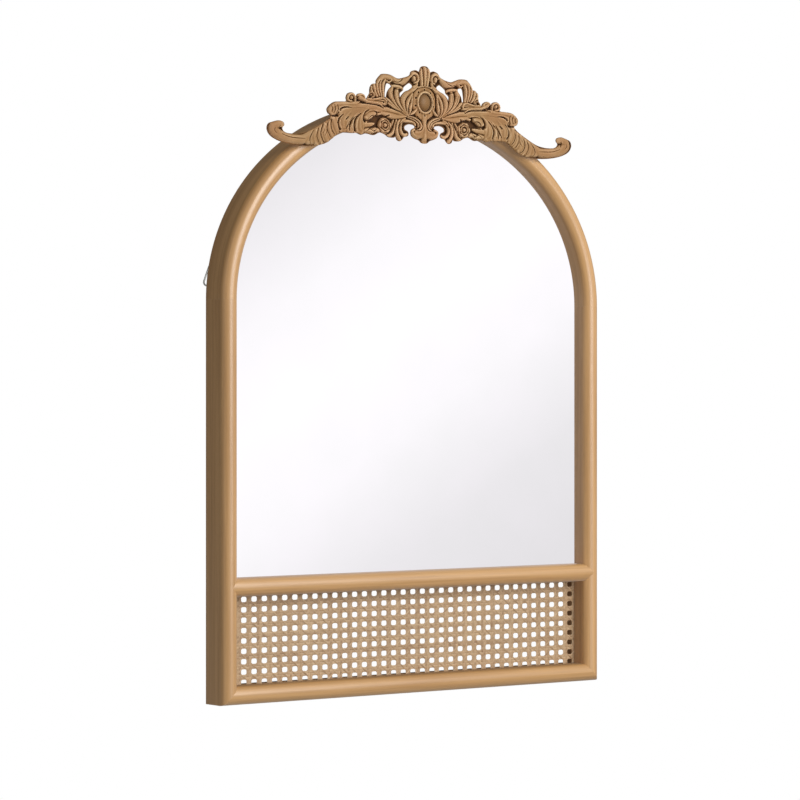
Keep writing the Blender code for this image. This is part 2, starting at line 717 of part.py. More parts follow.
def swell(host, side, swellings):
    """Joins rounded swellings to the front of a piece of the crest."""
    for name, (across, up, wide, tall, tilt, rise) in swellings.items():
        half_sizes = (wide * CREST_HALF_WIDTH, rise * CREST_RELIEF + SWELLING_SINK, tall * CREST_HEIGHT)
        centre = crest_place(side * across, up, CREST_FACE + SWELLING_SINK)
        lump = ellipsoid(f"{host.name}_{name}", centre, half_sizes, side * tilt)
        combine(host, tool(lump), "UNION")


def add_rods(host, side):
    """Joins the round rods that run along a wing."""
    for name, route in WING_ROD_SHARES.items():
        points = [crest_place(side * across, up) for across, up, _ in route]
        radii = [share * CREST_RELIEF for _, _, share in route]
        combine(host, tool(tube(f"{host.name}_{name}", points, radii)), "UNION")


def make_crest(members):
    """A centre block with the cabochon and two wings, coped over the arch and screwed from behind."""
    pieces = {"centre": keep(crest_board("crest_centre"), CREST_WOOD)}
    swell(pieces["centre"], 1, CENTRE_SWELLING_SHARES)
    for side, word in ((-1, "left"), (1, "right")):
        wing = keep(crest_board(f"crest_{word}_wing"), CREST_WOOD)
        pieces[word] = wing
        inner_side = (side * (CREST_SPLIT + FIT / 2), 0.0, 0.0)
        outer_side = (side * (CREST_SPLIT - FIT / 2), 0.0, 0.0)
        inward = 0.0 if side < 0 else math.pi
        swell(wing, side, WING_SWELLING_SHARES)
        add_rods(wing, side)
        cut(wing, half_space(f"{word}_wing_joint", inner_side, inward))
        cut(pieces["centre"], half_space(f"{word}_centre_joint", outer_side, inward + math.pi))
    cope = tool(arch_bar("crest_cope", FIT, FRAME_DEPTH + OVERRUN))
    for piece in pieces.values():
        cut(piece, cope)
    add_cabochon(pieces["centre"])
    for side, word in ((-1, "left"), (1, "right")):
        for place, reach in CREST_SCREW_PLACES.items():
            rise = AXIS_RISE * math.sqrt(1 - (reach / AXIS_REACH) ** 2)
            head = (side * reach, FRAME_DEPTH, SPRING_HEIGHT + rise)
            host = pieces["centre"] if place == "inner" else pieces[word]
            drive(f"{word}_{place}_crest_screw", head, CREST_SCREW, (members[f"{word}_arch"], host))


def add_cabochon(centre_block):
    """An oval boss in a shallow pocket, with a raised rim round it."""
    front = CREST_FACE - CREST_RELIEF * CENTRE_SWELLING_SHARES["body"][5]
    floor = front + CABOCHON_SEAT
    _, _, height = crest_place(0.0, CABOCHON_CENTRE_SHARE)
    half_sizes = (CABOCHON_WIDTH / 2, CABOCHON_RISE, CABOCHON_HEIGHT / 2)
    rim = oval((CABOCHON_WIDTH + CABOCHON_RIM) / 2, (CABOCHON_HEIGHT + CABOCHON_RIM) / 2, height, front)
    rim_shape = tube("cabochon_rim", rim, [CABOCHON_RIM] * len(rim), cyclic=True, resolution=1)
    combine(centre_block, tool(rim_shape), "UNION")
    pocket = rod("cabochon_pocket", (0.0, floor - OVERRUN / 2, height),
                 Matrix.Rotation(math.radians(90.0), 4, "X"), 1.0, OVERRUN, CABOCHON_SIDES)
    pocket.scale = (CABOCHON_WIDTH / 2 + FIT, CABOCHON_HEIGHT / 2 + FIT, 1.0)
    cut(centre_block, tool(pocket))
    seat = (0.0, floor - FIT, height)
    boss = ellipsoid("crest_cabochon", seat, half_sizes, 0.0, CABOCHON_SIDES, CABOCHON_SIDES // 2)
    keep(boss, CREST_WOOD)
    behind = block("behind_cabochon", (-OVERRUN - CABOCHON_WIDTH, floor - FIT, height - CABOCHON_HEIGHT),
                   (OVERRUN + CABOCHON_WIDTH, floor + OVERRUN, height + CABOCHON_HEIGHT))
    cut(boss, tool(behind))


def oval(reach, rise, height, depth):
    points = []
    for step in range(CABOCHON_SIDES):
        turn = 2 * math.pi * step / CABOCHON_SIDES
        points.append((reach * math.cos(turn), depth, height + rise * math.sin(turn)))
    return points


def strap_section():
    """A hanger strap's side: a plate down from the barrel that holds the ring. X is depth, Y is height."""
    back = FRAME_DEPTH + FIT
    points = [(STRAP_FACE, -STRAP_LENGTH), (back, -STRAP_LENGTH)]
    for step in range(STRAP_SIDES + 1):
        turn = math.pi - STRAP_CURL * step / STRAP_SIDES
        points.append((BARREL_DEPTH + BARREL_RADIUS * math.cos(turn), BARREL_RADIUS * math.sin(turn)))
    points.append((STRAP_FACE, -BARREL_RADIUS))
    return points


def circle(radius, sides, x=0.0, y=0.0):
    turns = [2 * math.pi * step / sides for step in range(sides)]
    return [(x + radius * math.cos(turn), y + radius * math.sin(turn)) for turn in turns]


def rounded(corners, radii, steps):
    """A closed outline through corners, each one rounded by its own radius."""
    points = []
    for i, (corner, radius) in enumerate(zip(corners, radii)):
        before, after = corners[i - 1], corners[(i + 1) % len(corners)]
        arms = []
        for other in (before, after):
            length = math.dist(corner, other)
            arms.append(((other[0] - corner[0]) / length, (other[1] - corner[1]) / length))
        half_angle = math.acos(arms[0][0] * arms[1][0] + arms[0][1] * arms[1][1]) / 2
        reach = radius / math.tan(half_angle)
        bisector = (arms[0][0] + arms[1][0], arms[0][1] + arms[1][1])
        scale = radius / math.sin(half_angle) / math.hypot(*bisector)
        centre = (corner[0] + bisector[0] * scale, corner[1] + bisector[1] * scale)
        ends = [(corner[0] + arm[0] * reach, corner[1] + arm[1] * reach) for arm in arms]
        turns = [math.atan2(end[1] - centre[1], end[0] - centre[0]) for end in ends]
        sweep = (turns[1] - turns[0] + math.pi) % (2 * math.pi) - math.pi
        for step in range(steps + 1):
            turn = turns[0] + sweep * step / steps
            points.append((centre[0] + radius * math.cos(turn), centre[1] + radius * math.sin(turn)))
    return points


def make_hangers(members):
    """A strap on each side of the back, folded round a wire ring that swings about X."""
    depth_to_y = Matrix(((0, 0, 1, 0), (1, 0, 0, 0), (0, 1, 0, 0), (0, 0, 0, 1)))
    bore = circle(RING_WIRE + FIT, STRAP_SIDES, BARREL_DEPTH)
    corners = [
        (-RING_TOP_HALF, 0.0), (RING_TOP_HALF, 0.0),
        (RING_FOOT_HALF, -RING_LENGTH), (-RING_FOOT_HALF, -RING_LENGTH),
    ]
    corner_radii = [RING_TOP_CORNER, RING_TOP_CORNER, RING_FOOT_CORNER, RING_FOOT_CORNER]
    wire = [(x, 0.0, z) for x, z in rounded(corners, corner_radii, RING_CORNER_STEPS)]
    for side, word in ((-1, "left"), (1, "right")):
        strap = keep(extruded(f"{word}_hanger_strap", [strap_section(), bore], STRAP_WIDTH), STEEL)
        strap.matrix_basis = Matrix.Translation((side * HANGER_REACH, 0.0, HANG_HEIGHT)) @ depth_to_y
        ring = keep(tube(f"{word}_hanger_ring", wire, [RING_WIRE] * len(wire), cyclic=True), STEEL)
        ring.location = (side * HANGER_REACH, BARREL_DEPTH, HANG_HEIGHT)
        smooth(ring)
        for number, share in enumerate(STRAP_SCREW_SHARES, 1):
            place = (side * HANGER_REACH, STRAP_FACE, HANG_HEIGHT - share * STRAP_LENGTH)
            drive(f"{word}_strap_screw_{number}", place, STRAP_SCREW, (strap, members[f"{word}_arch"]))


def make_wall_pads():
    """A felt pad at the foot of each stile keeps the back off the wall."""
    along_y = Matrix.Rotation(math.radians(90.0), 4, "X")
    for side, word in ((-1, "left"), (1, "right")):
        reach = AXIS_REACH + REBATE_WIDTH / 2
        centre = (side * reach, FRAME_DEPTH + FIT + PAD_THICKNESS / 2, PAD_HEIGHT)
        keep(rod(f"{word}_wall_pad", centre, along_y, PAD_RADIUS, PAD_THICKNESS, PAD_SIDES), FELT)


frame = make_frame()
make_dowels(frame)
make_mirror()
make_clips(frame)
make_cane()
make_battens(frame)
make_crest(frame)
make_hangers(frame)
make_wall_pads()
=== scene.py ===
"""The finished look of an arched wall mirror with a carved crest and a woven cane panel.

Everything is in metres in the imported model's frame: X is to the right, Y goes into the wall and Z is up,
from an origin midway between the hanger pivots on the plane of the frame's back. The crest's drawing is in
millimetres, as its own section says.
"""

import json
import math

import bmesh
import bpy
import numpy as np
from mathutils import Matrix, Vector


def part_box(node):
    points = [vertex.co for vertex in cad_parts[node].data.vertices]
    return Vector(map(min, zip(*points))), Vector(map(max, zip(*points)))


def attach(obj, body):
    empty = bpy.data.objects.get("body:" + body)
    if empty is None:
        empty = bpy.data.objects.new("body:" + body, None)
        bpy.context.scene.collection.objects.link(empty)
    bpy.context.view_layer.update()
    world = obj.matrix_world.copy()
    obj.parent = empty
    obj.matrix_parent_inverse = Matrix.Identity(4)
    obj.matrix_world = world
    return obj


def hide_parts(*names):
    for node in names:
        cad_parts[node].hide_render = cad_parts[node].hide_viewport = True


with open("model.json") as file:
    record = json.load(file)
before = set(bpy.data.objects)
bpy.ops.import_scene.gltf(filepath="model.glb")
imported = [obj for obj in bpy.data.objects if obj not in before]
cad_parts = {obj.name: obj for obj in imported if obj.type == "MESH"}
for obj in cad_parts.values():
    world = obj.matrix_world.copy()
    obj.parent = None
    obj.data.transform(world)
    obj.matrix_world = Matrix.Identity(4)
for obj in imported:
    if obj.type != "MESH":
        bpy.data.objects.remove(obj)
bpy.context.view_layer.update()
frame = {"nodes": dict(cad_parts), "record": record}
BODY = "mirror"
SIDES = ((-1, "left"), (1, "right"))

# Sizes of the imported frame
RAIL_LOW, RAIL_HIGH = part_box("bottom_rail")
MID_LOW, MID_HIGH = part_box("mid_rail")
GLASS_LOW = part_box("mirror_glass")[0]
CANE_LOW, CANE_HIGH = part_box("cane_panel")
CREST_LOW, CREST_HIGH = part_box("crest_centre")
CREST_HALF_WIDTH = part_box("crest_right_wing")[1].x
HALF_WIDTH = RAIL_HIGH.x
FOOT = RAIL_LOW.z
FRONT = RAIL_LOW.y
DEPTH = RAIL_HIGH.y - RAIL_LOW.y
MOULDING = RAIL_HIGH.z - RAIL_LOW.z
NOSE = MOULDING / 2
SPRING = (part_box("left_stile")[1].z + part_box("left_arch")[0].z) / 2
AXIS_REACH = HALF_WIDTH - NOSE
AXIS_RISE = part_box("left_arch")[1].z - NOSE - SPRING
MID_AXIS = MID_HIGH.z - NOSE

# Moulding
FIT = 0.0003
REBATE_WIDTH = 0.008
REBATE_FRONT = GLASS_LOW.y - FIT - FRONT
NOSE_STEPS = 28
ARCH_STEPS = 84
ARRIS = 0.0008
ARRIS_STEPS = 3
HAIRLINE = 0.00002
COPE_LAP = 0.0002
MEMBER_GRAIN_SHIFT = 3.0

# Crest's board
CREST_BOARD = 0.010
CREST_LEAST_BODY = 0.0012

# Cane work: pairs of strands both ways between the gaps, and two slanting strands through each crossing.
# Sizes in twos are for the uprights, which stand side by side along x, then for the levels, along z.
CANE_PITCH = (0.01693, 0.01406)
CANE_HALF_PAIR = (0.00205, 0.00172)
CANE_WIDTH = (0.0041, 0.0034)
CANE_STEPS = (112, 430)
CANE_LEAST = (CANE_LOW.x + FIT, CANE_LOW.z + FIT)
CANE_MOST = (CANE_HIGH.x - FIT, CANE_HIGH.z - FIT)
CANE_MIDDLE = (CANE_LOW.y + CANE_HIGH.y) / 2
CANE_FIRST_GAP = -0.29508
CANE_TOP_GAP_DROP = 0.0055
CANE_PAIRS_AT = (CANE_FIRST_GAP - CANE_PITCH[0] / 2, MID_LOW.z - CANE_TOP_GAP_DROP + CANE_PITCH[1] / 2)
CANE_PAIR_SWAY = 0.00028
CANE_SLANT_WIDTH = 0.0020
CANE_SLANT_SWAY = 0.00058
CANE_SLANT_STEPS = 150
CANE_SPARE_ROWS = 2
CANE_LEAST_STEPS = 4
CANE_THICKNESS = 0.0005
CANE_SEED = 7
STRAND_GRAIN_SHIFT = 7
# A strand's section: across as a share of the width, and in depth as a share of the thickness
CANE_SECTION_SHARES = [(-0.5, 0.12), (-0.30, -0.42), (0.0, -0.58), (0.30, -0.42), (0.5, 0.12), (0.0, 0.42)]
BATTEN_HEAD_PROUD = 0.0017
BATTEN_ARRIS = 0.0005
PIN_PROUD = 0.0003
PIN_STEPS = 16

# Camera
CAMERA_PLACE = (-2.77421, -3.67770, -0.16851)
CAMERA_TURN = math.radians(-37.0136)
CAMERA_LENS = 146.956
CAMERA_SHIFT_Y = -0.012054

# Light: one softbox, and a room whose reflection is brightest along a slanting band
FILL_STRENGTH = 0.43
KEY_AZIMUTH = 13.0
KEY_ELEVATION = 19.0
KEY_DISTANCE = 3.2
KEY_TARGET_HEIGHT = -0.15
KEY_SIZE = (1.8, 2.6)
KEY_WATTS = 85.5
BAND_NORMAL = (0.479, 0.361, -0.8)
BAND_OFFSET = -0.016
BAND_HALF_WIDTH = 0.12
ROOM_STRENGTH = 1.06
WHITE = (1.0, 1.0, 1.0, 1.0)
FLOOR_REACH = 12.0
FLOOR_DROP = 1.1
FLOOR_REFLECTION = 0.3


def srgb(red, green, blue):
    """A linear colour from the values that a picture would show."""
    values = []
    for value in (red, green, blue):
        share = value / 255
        values.append(share / 12.92 if share <= 0.04045 else ((share + 0.055) / 1.055) ** 2.4)
    return (*values, 1.0)


def add(tree, kind, settings=(), **inputs):
    """Adds a shader node. An input named i0, i1... is taken by its number."""
    node = tree.nodes.new("ShaderNode" + kind)
    for key, value in dict(settings).items():
        setattr(node, key, value)
    for key, value in inputs.items():
        numbered = key[0] == "i" and key[1:].isdigit()
        socket = node.inputs[int(key[1:])] if numbered else node.inputs[key.replace("_", " ")]
        if isinstance(value, bpy.types.NodeSocket):
            tree.links.new(value, socket)
        else:
            socket.default_value = value
    return node


def calc(tree, operation, *values):
    """A step of arithmetic on numbers and outputs."""
    inputs = {f"i{number}": value for number, value in enumerate(values)}
    return add(tree, "Math", {"operation": operation}, **inputs).outputs[0]


def mix(tree, factor, first, second, blend="MIX"):
    """A colour mix. Its sockets are taken by number because their names repeat."""
    node = add(tree, "Mix", {"data_type": "RGBA", "blend_type": blend}, i0=factor, i6=first, i7=second)
    return node.outputs[2]


def ramp(tree, factor, stops):
    """A colour ramp. A stop has a place and a colour or a grey."""
    node = add(tree, "ValToRGB", i0=factor)
    elements = node.color_ramp.elements
    while len(elements) < len(stops):
        elements.new(0.5)
    for element, (place, colour) in zip(elements, stops):
        element.position = place
        element.color = colour if hasattr(colour, "__len__") else (colour, colour, colour, 1.0)
    return node.outputs[0]


def noise(tree, place, scale, detail=3.0, roughness=0.5, distortion=0.0):
    """Noise at one scale, or at a scale for each axis."""
    if isinstance(scale, tuple):
        place = add(tree, "Mapping", i0=place, i3=scale).outputs[0]
        scale = 1.0
    return add(
        tree, "TexNoise", Vector=place, Scale=scale, Detail=detail, Roughness=roughness, Distortion=distortion
    ).outputs[0]


def object_place(tree):
    return add(tree, "TexCoord").outputs["Object"]


def attribute(tree, name, output="Vector"):
    return add(tree, "Attribute", {"attribute_name": name}).outputs[output]


def shader(name, **inputs):
    """A material with a Principled shader, which holds the values that are alike all over it."""
    material = bpy.data.materials.new(name)
    material.use_nodes = True
    node = material.node_tree.nodes["Principled BSDF"]
    for key, value in inputs.items():
        node.inputs[key.replace("_", " ")].default_value = value
    return material, material.node_tree, node


def feed(tree, node, **outputs):
    """Links outputs to a node's inputs by name."""
    for key, output in outputs.items():
        tree.links.new(output, node.inputs[key.replace("_", " ")])


def bump(tree, node, height, strength, distance):
    feed(tree, node, Normal=add(tree, "Bump", Strength=strength, Distance=distance, Height=height).outputs[0])


def make_wood(name, light, dark, roughness, swept=True, gloss=0.3, coat=0.0):
    """Wood. On a swept member, the grain attribute holds a point's place along, across and into it."""
    material, tree, node = shader(name, Specular_IOR_Level=gloss, Coat_Weight=coat, Coat_Roughness=0.36)
    place = attribute(tree, "grain") if swept else object_place(tree)
    streaks = noise(tree, place, (5.0, 260.0, 260.0), 4.0, 0.55, 0.3)
    bands = noise(tree, place, (2.2, 70.0, 70.0), 2.0, 0.5, 0.4)
    pores = noise(tree, place, (110.0, 2600.0, 2600.0), 2.0, 0.6)
    colour = ramp(tree, mix(tree, 0.45, streaks, bands), [(0.36, dark), (0.62, light)])
    colour = mix(tree, 0.35, colour, ramp(tree, pores, [(0.30, 0.80), (0.42, 1.0)]), "MULTIPLY")
    rough = ramp(tree, streaks, [(0.3, roughness + 0.05), (0.7, roughness - 0.05)])
    feed(tree, node, Base_Color=colour, Roughness=rough)
    bump(tree, node, pores, 0.25, 0.00005)
    return material


def make_steel(name):
    material, tree, node = shader(name, Metallic=1.0)
    cloud = noise(tree, object_place(tree), 420.0, 4.0, 0.6)
    colour = ramp(tree, cloud, [(0.3, srgb(150, 150, 146)), (0.7, srgb(196, 196, 192))])
    feed(tree, node, Base_Color=colour, Roughness=ramp(tree, cloud, [(0.3, 0.42), (0.7, 0.28)]))
    bump(tree, node, cloud, 0.15, 0.00004)
    return material


def make_board(name):
    material, tree, node = shader(name, Roughness=0.85)
    place = object_place(tree)
    fibres = noise(tree, place, (240.0, 240.0, 700.0), 5.0, 0.65)
    flecks = noise(tree, place, 1500.0, 2.0)
    colour = ramp(tree, fibres, [(0.3, srgb(112, 82, 57)), (0.7, srgb(146, 110, 78))])
    colour = mix(tree, 0.3, colour, ramp(tree, flecks, [(0.4, 0.6), (0.6, 1.0)]), "MULTIPLY")
    feed(tree, node, Base_Color=colour)
    bump(tree, node, fibres, 0.3, 0.0001)
    return material


def make_felt(name):
    material, tree, node = shader(name, Roughness=0.95, Sheen_Weight=0.3)
    hairs = noise(tree, object_place(tree), 2400.0, 4.0, 0.7)
    feed(tree, node, Base_Color=ramp(tree, hairs, [(0.3, srgb(74, 62, 54)), (0.7, srgb(112, 97, 86))]))
    bump(tree, node, hairs, 0.8, 0.0003)
    return material


def make_silvered_glass(name):
    """A mirror with the faintest haze."""
    material, tree, node = shader(name, Metallic=1.0)
    haze = noise(tree, object_place(tree), 9.0, 3.0)
    colour = ramp(tree, haze, [(0.3, srgb(250, 248, 251)), (0.7, srgb(253, 250, 254))])
    feed(tree, node, Base_Color=colour, Roughness=ramp(tree, haze, [(0.3, 0.008), (0.7, 0.014)]))
    return material


def make_cane_skin(name):
    """Each strand has its own tone, with long fibres and a few darker joints."""
    material, tree, node = shader(name, Specular_IOR_Level=0.6)
    place = attribute(tree, "grain")
    fibres = noise(tree, place, (60.0, 2200.0, 1.0), 3.0, 0.6)
    blotches = noise(tree, place, (75.0, 160.0, 1.0), 3.0, 0.6)
    tones = [(0.0, srgb(152, 116, 80)), (0.5, srgb(184, 150, 110)), (1.0, srgb(202, 172, 132))]
    joints = [(0.3, srgb(142, 106, 72)), (0.62, srgb(218, 188, 150))]
    colour = mix(tree, 0.5, ramp(tree, attribute(tree, "tint", "Fac"), tones), ramp(tree, blotches, joints))
    colour = mix(tree, 0.4, colour, ramp(tree, fibres, [(0.3, 0.62), (0.6, 1.0)]), "MULTIPLY")
    feed(tree, node, Base_Color=colour, Roughness=ramp(tree, fibres, [(0.3, 0.58), (0.7, 0.38)]))
    bump(tree, node, fibres, 0.4, 0.00006)
    return material


def make_crest_wood(name, shades, gloss=0.2, roughness=(0.75, 0.48)):
    """A stained casting: a dark stain wash with painted shade in the hollows and low ground, lighter on the
    ridges.
    """
    material, tree, node = shader(name, Specular_IOR_Level=gloss)
    place = attribute(tree, "grain")
    cloud = noise(tree, place, 38.0, 4.0, 0.6)
    specks = noise(tree, place, 900.0, 3.0, 0.6)
    # The attribute read here darkens hollows and low ground with a stain wash and painted shade
    stain_shade_level = calc(tree, "MULTIPLY_ADD", cloud, 0.16, attribute(tree, "worn", "Fac"))
    stain_shade_level = calc(tree, "SUBTRACT", stain_shade_level, 0.08)
    tints = [(0.35, srgb(255, 236, 222)), (0.65, srgb(248, 250, 236))]
    patches = ramp(tree, noise(tree, place, 14.0, 2.0), tints)
    colour = mix(tree, 0.6, ramp(tree, stain_shade_level, shades), patches, "MULTIPLY")
    colour = mix(tree, 0.25, colour, ramp(tree, specks, [(0.35, 0.7), (0.6, 1.0)]), "MULTIPLY")
    rough = ramp(tree, stain_shade_level, [(0.2, roughness[0]), (0.7, roughness[1])])
    feed(tree, node, Base_Color=colour, Roughness=rough)
    bump(tree, node, specks, 0.25, 0.00008)
    return material


FRAME_WOOD = make_wood("frame_wood", srgb(213, 164, 102), srgb(184, 135, 74), 0.42, gloss=1.0, coat=0.45)
PLAIN_WOOD = make_wood("plain_wood", srgb(150, 112, 76), srgb(128, 92, 60), 0.75, swept=False)
STEEL = make_steel("zinc_steel")
BOARD = make_board("fibreboard")
FELT = make_felt("felt")
MIRROR = make_silvered_glass("silvered_glass")
CANE = make_cane_skin("cane")
# Colours from hollows dark with stain wash and painted shade to the lightest ridges
CREST_SHADES = [
    (0.08, srgb(62, 36, 10)), (0.32, srgb(109, 75, 40)),
    (0.52, srgb(170, 129, 87)), (0.80, srgb(223, 186, 146)),
]
CREST_WOOD = make_crest_wood("crest_wood", CREST_SHADES)
CABOCHON_SHADES = [(0.1, srgb(50, 30, 10)), (0.8, srgb(148, 110, 70))]
CABOCHON_WOOD = make_crest_wood("cabochon_wood", CABOCHON_SHADES, gloss=0.25, roughness=(0.6, 0.45))


def new_object(name, data):
    obj = bpy.data.objects.new(name, data)
    bpy.context.scene.collection.objects.link(obj)
    return obj


def new_mesh(name, points, faces, material, smooth_angle=40.0, **attributes):
    """A mesh object, smooth up to an angle. An attribute has a value or a vector for each point."""
    mesh = bpy.data.meshes.new(name)
    mesh.from_pydata([tuple(point) for point in points], [], faces)
    for key, values in attributes.items():
        values = np.asarray(values, np.float32)
        kind = "FLOAT_VECTOR" if values.ndim == 2 else "FLOAT"
        layer = mesh.attributes.new(key, kind, "POINT")
        layer.data.foreach_set("vector" if values.ndim == 2 else "value", values.ravel())
    mesh.validate()
    mesh.shade_smooth()
    mesh.set_sharp_from_angle(angle=math.radians(smooth_angle))
    mesh.materials.append(material)
    return new_object(name, mesh)


def tube_faces(count, rings, start=0):
    """The sides and the two ends of a tube: rings of count points each, numbered from start."""
    faces = []
    last = start + (rings - 1) * count
    for ring in range(start, last, count):
        for i in range(count):
            here = ring + i
            beside = ring + (i + 1) % count
            faces.append((here, beside, beside + count, here + count))
    faces.append(tuple(reversed(range(start, start + count))))
    faces.append(tuple(range(last, last + count)))
    return faces


def face_outward(obj):
    """Turns every face outward on a closed mesh."""
    shape = bmesh.new()
    shape.from_mesh(obj.data)
    bmesh.ops.recalc_face_normals(shape, faces=shape.faces)
    shape.to_mesh(obj.data)
    shape.free()


def install(obj, slot, *nodes, body=BODY):
    """Puts a piece on its body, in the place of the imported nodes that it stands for.

    As in the photograph, the mirror shows the white room alone, so no piece is seen by reflected rays.
    """
    obj.visible_glossy = False
    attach(obj, body)
    if nodes:
        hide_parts(*nodes)
    return obj


def softened(before, corner, after):
    """A corner of an outline, rounded over by the arris."""
    before, corner, after = (np.array(point) for point in (before, corner, after))
    start = corner + (before - corner) / np.linalg.norm(before - corner) * ARRIS
    end = corner + (after - corner) / np.linalg.norm(after - corner) * ARRIS
    shares = [step / ARRIS_STEPS for step in range(ARRIS_STEPS + 1)]
    return [tuple((1 - t) ** 2 * start + 2 * t * (1 - t) * corner + t * t * end) for t in shares]


def moulding_profile(outer_rebate=False):
    """The section as (across, depth): the outer side is at +across, and depth is from the front."""
    points = []
    for step in range(NOSE_STEPS + 1):
        turn = math.pi * step / NOSE_STEPS
        points.append((-NOSE * math.cos(turn), NOSE * (1 - math.sin(turn))))
    wall = NOSE - REBATE_WIDTH
    edges = [(NOSE, DEPTH)]
    if outer_rebate:
        edges = [(NOSE, REBATE_FRONT), (wall, REBATE_FRONT), (wall, DEPTH)]
    edges += [(-wall, DEPTH), (-wall, REBATE_FRONT), (-NOSE, REBATE_FRONT)]
    corners = [points[-1], *edges, points[0]]
    for before, corner, after in zip(corners, corners[1:], corners[2:]):
        points += softened(before, corner, after)
    return points


def make_moulding(node, profile, stations, seed):
    """Sweeps a section. A station has a function from (across, depth) to (x, z) and a length along.

    The seed shifts the grain, so that no two members are alike.
    """
    points = []
    grain = []
    for place, along in stations:
        for across, depth in profile:
            x, z = place(across, depth)
            points.append((x, FRONT + depth, z))
            grain.append((along + MEMBER_GRAIN_SHIFT * seed, across + seed, depth))
    faces = tube_faces(len(profile), len(stations))
    obj = new_mesh(node + "_moulding", points, faces, FRAME_WOOD, grain=grain)
    face_outward(obj)
    install(obj, "frame_wood", node)


def stile_reach(depth):
    """How far from the middle a stile's inner surface lies at a depth."""
    if depth > REBATE_FRONT:
        return HALF_WIDTH - MOULDING + REBATE_WIDTH
    if depth > NOSE:
        return AXIS_REACH - NOSE
    return AXIS_REACH - math.sqrt(NOSE**2 - (NOSE - depth) ** 2)


def mitre(side):
    """The plane in which a stile and the bottom rail meet."""
    return lambda across, depth: (side * (AXIS_REACH + across), FOOT + NOSE - across)


def make_stiles():
    for side, word in SIDES:
        def top(across, depth, side=side):
            return (side * (AXIS_REACH + across), SPRING - HAIRLINE)

        stations = [(mitre(side), 0.0), (top, SPRING - FOOT)]
        make_moulding(word + "_stile", moulding_profile(), stations, seed=0.31 + 0.2 * side)


def arch_place(angle, across):
    """A point of the arch, outward from the moulding's centre line."""
    normal = np.array((math.cos(angle) / AXIS_REACH, math.sin(angle) / AXIS_RISE))
    normal /= np.linalg.norm(normal)
    return (
        AXIS_REACH * math.cos(angle) + normal[0] * across,
        SPRING + AXIS_RISE * math.sin(angle) + normal[1] * across,
    )


def make_arch():
    for side, word in SIDES:
        stations = []
        along = 0.0
        before = arch_place(0.0, 0.0)
        for step in range(ARCH_STEPS + 1):
            angle = math.pi / 2 * step / ARCH_STEPS

            def place(across, depth, side=side, angle=angle):
                x, z = arch_place(angle, across)
                return (side * x, z + HAIRLINE)

            here = arch_place(angle, 0.0)
            along += math.dist(here, before)
            before = here
            stations.append((place, along))
        make_moulding(word + "_arch", moulding_profile(), stations, seed=0.87 + 0.3 * side)


def make_rails():
    """The bottom rail ends in mitres and the middle rail is coped over the stiles."""
    def cope(side):
        return lambda across, depth: (side * (stile_reach(depth) + COPE_LAP), MID_AXIS - across)

    stations = [(mitre(side), side * AXIS_REACH) for side, _ in SIDES]
    make_moulding("bottom_rail", moulding_profile(), stations, seed=1.7)
    stations = [(cope(side), side * AXIS_REACH) for side, _ in SIDES]
    make_moulding("mid_rail", moulding_profile(outer_rebate=True), stations, seed=2.3)


def strand(route, width, tint, bends):
    """A split cane strand along a route of (x, z) points, bent out of the panel's plane by bends."""
    step = np.gradient(route, axis=0)
    step /= np.linalg.norm(step, axis=1)[:, None]
    across = np.stack([-step[:, 1], step[:, 0]], axis=1)
    along = np.concatenate([[0.0], np.cumsum(np.linalg.norm(np.diff(route, axis=0), axis=1))])
    none = np.zeros(len(route))
    points = []
    grain = []
    for share, depth_share in CANE_SECTION_SHARES:
        shifted = route + across * share * width
        depth = CANE_MIDDLE + bends + depth_share * CANE_THICKNESS
        points.append(np.stack([shifted[:, 0], depth, shifted[:, 1]], axis=1))
        shifted_along = along + STRAND_GRAIN_SHIFT * tint
        grain.append(np.stack([shifted_along, none + (share * width + tint), none], axis=1))
    points = np.stack(points, axis=1).reshape(-1, 3)
    grain = np.stack(grain, axis=1).reshape(-1, 3)
    return points, grain, np.full(len(points), tint)


def sway(places, way):
    """The bend of one strand of a pair as it passes each crossing pair: toward the viewer, then away."""
    pitch = CANE_PITCH[way]
    offset = (places + pitch / 2) % pitch - pitch / 2
    return -CANE_PAIR_SWAY * np.sin(np.pi * np.clip(offset / (2 * CANE_HALF_PAIR[way]), -1, 1))


def straight_strands(way, rng):
    """The uprights, way 0, or the levels, way 1: a pair of strands between each two rows of gaps."""
    strands = []
    other = 1 - way
    edge = CANE_WIDTH[way] / 2
    number = math.ceil((CANE_LEAST[way] - CANE_PAIRS_AT[way]) / CANE_PITCH[way])
    while CANE_PAIRS_AT[way] + number * CANE_PITCH[way] < CANE_MOST[way]:
        for hand in (-1, 1):
            place = CANE_PAIRS_AT[way] + number * CANE_PITCH[way] + hand * CANE_HALF_PAIR[way]
            if CANE_LEAST[way] + edge < place < CANE_MOST[way] - edge:
                run = np.linspace(CANE_LEAST[other], CANE_MOST[other], CANE_STEPS[way])
                bends = (2 * way - 1) * hand * sway(run - CANE_PAIRS_AT[other], other)
                route = np.full((len(run), 2), place)
                route[:, other] = run
                strands.append(strand(route, CANE_WIDTH[way], rng.random(), bends))
        number += 1
    return strands


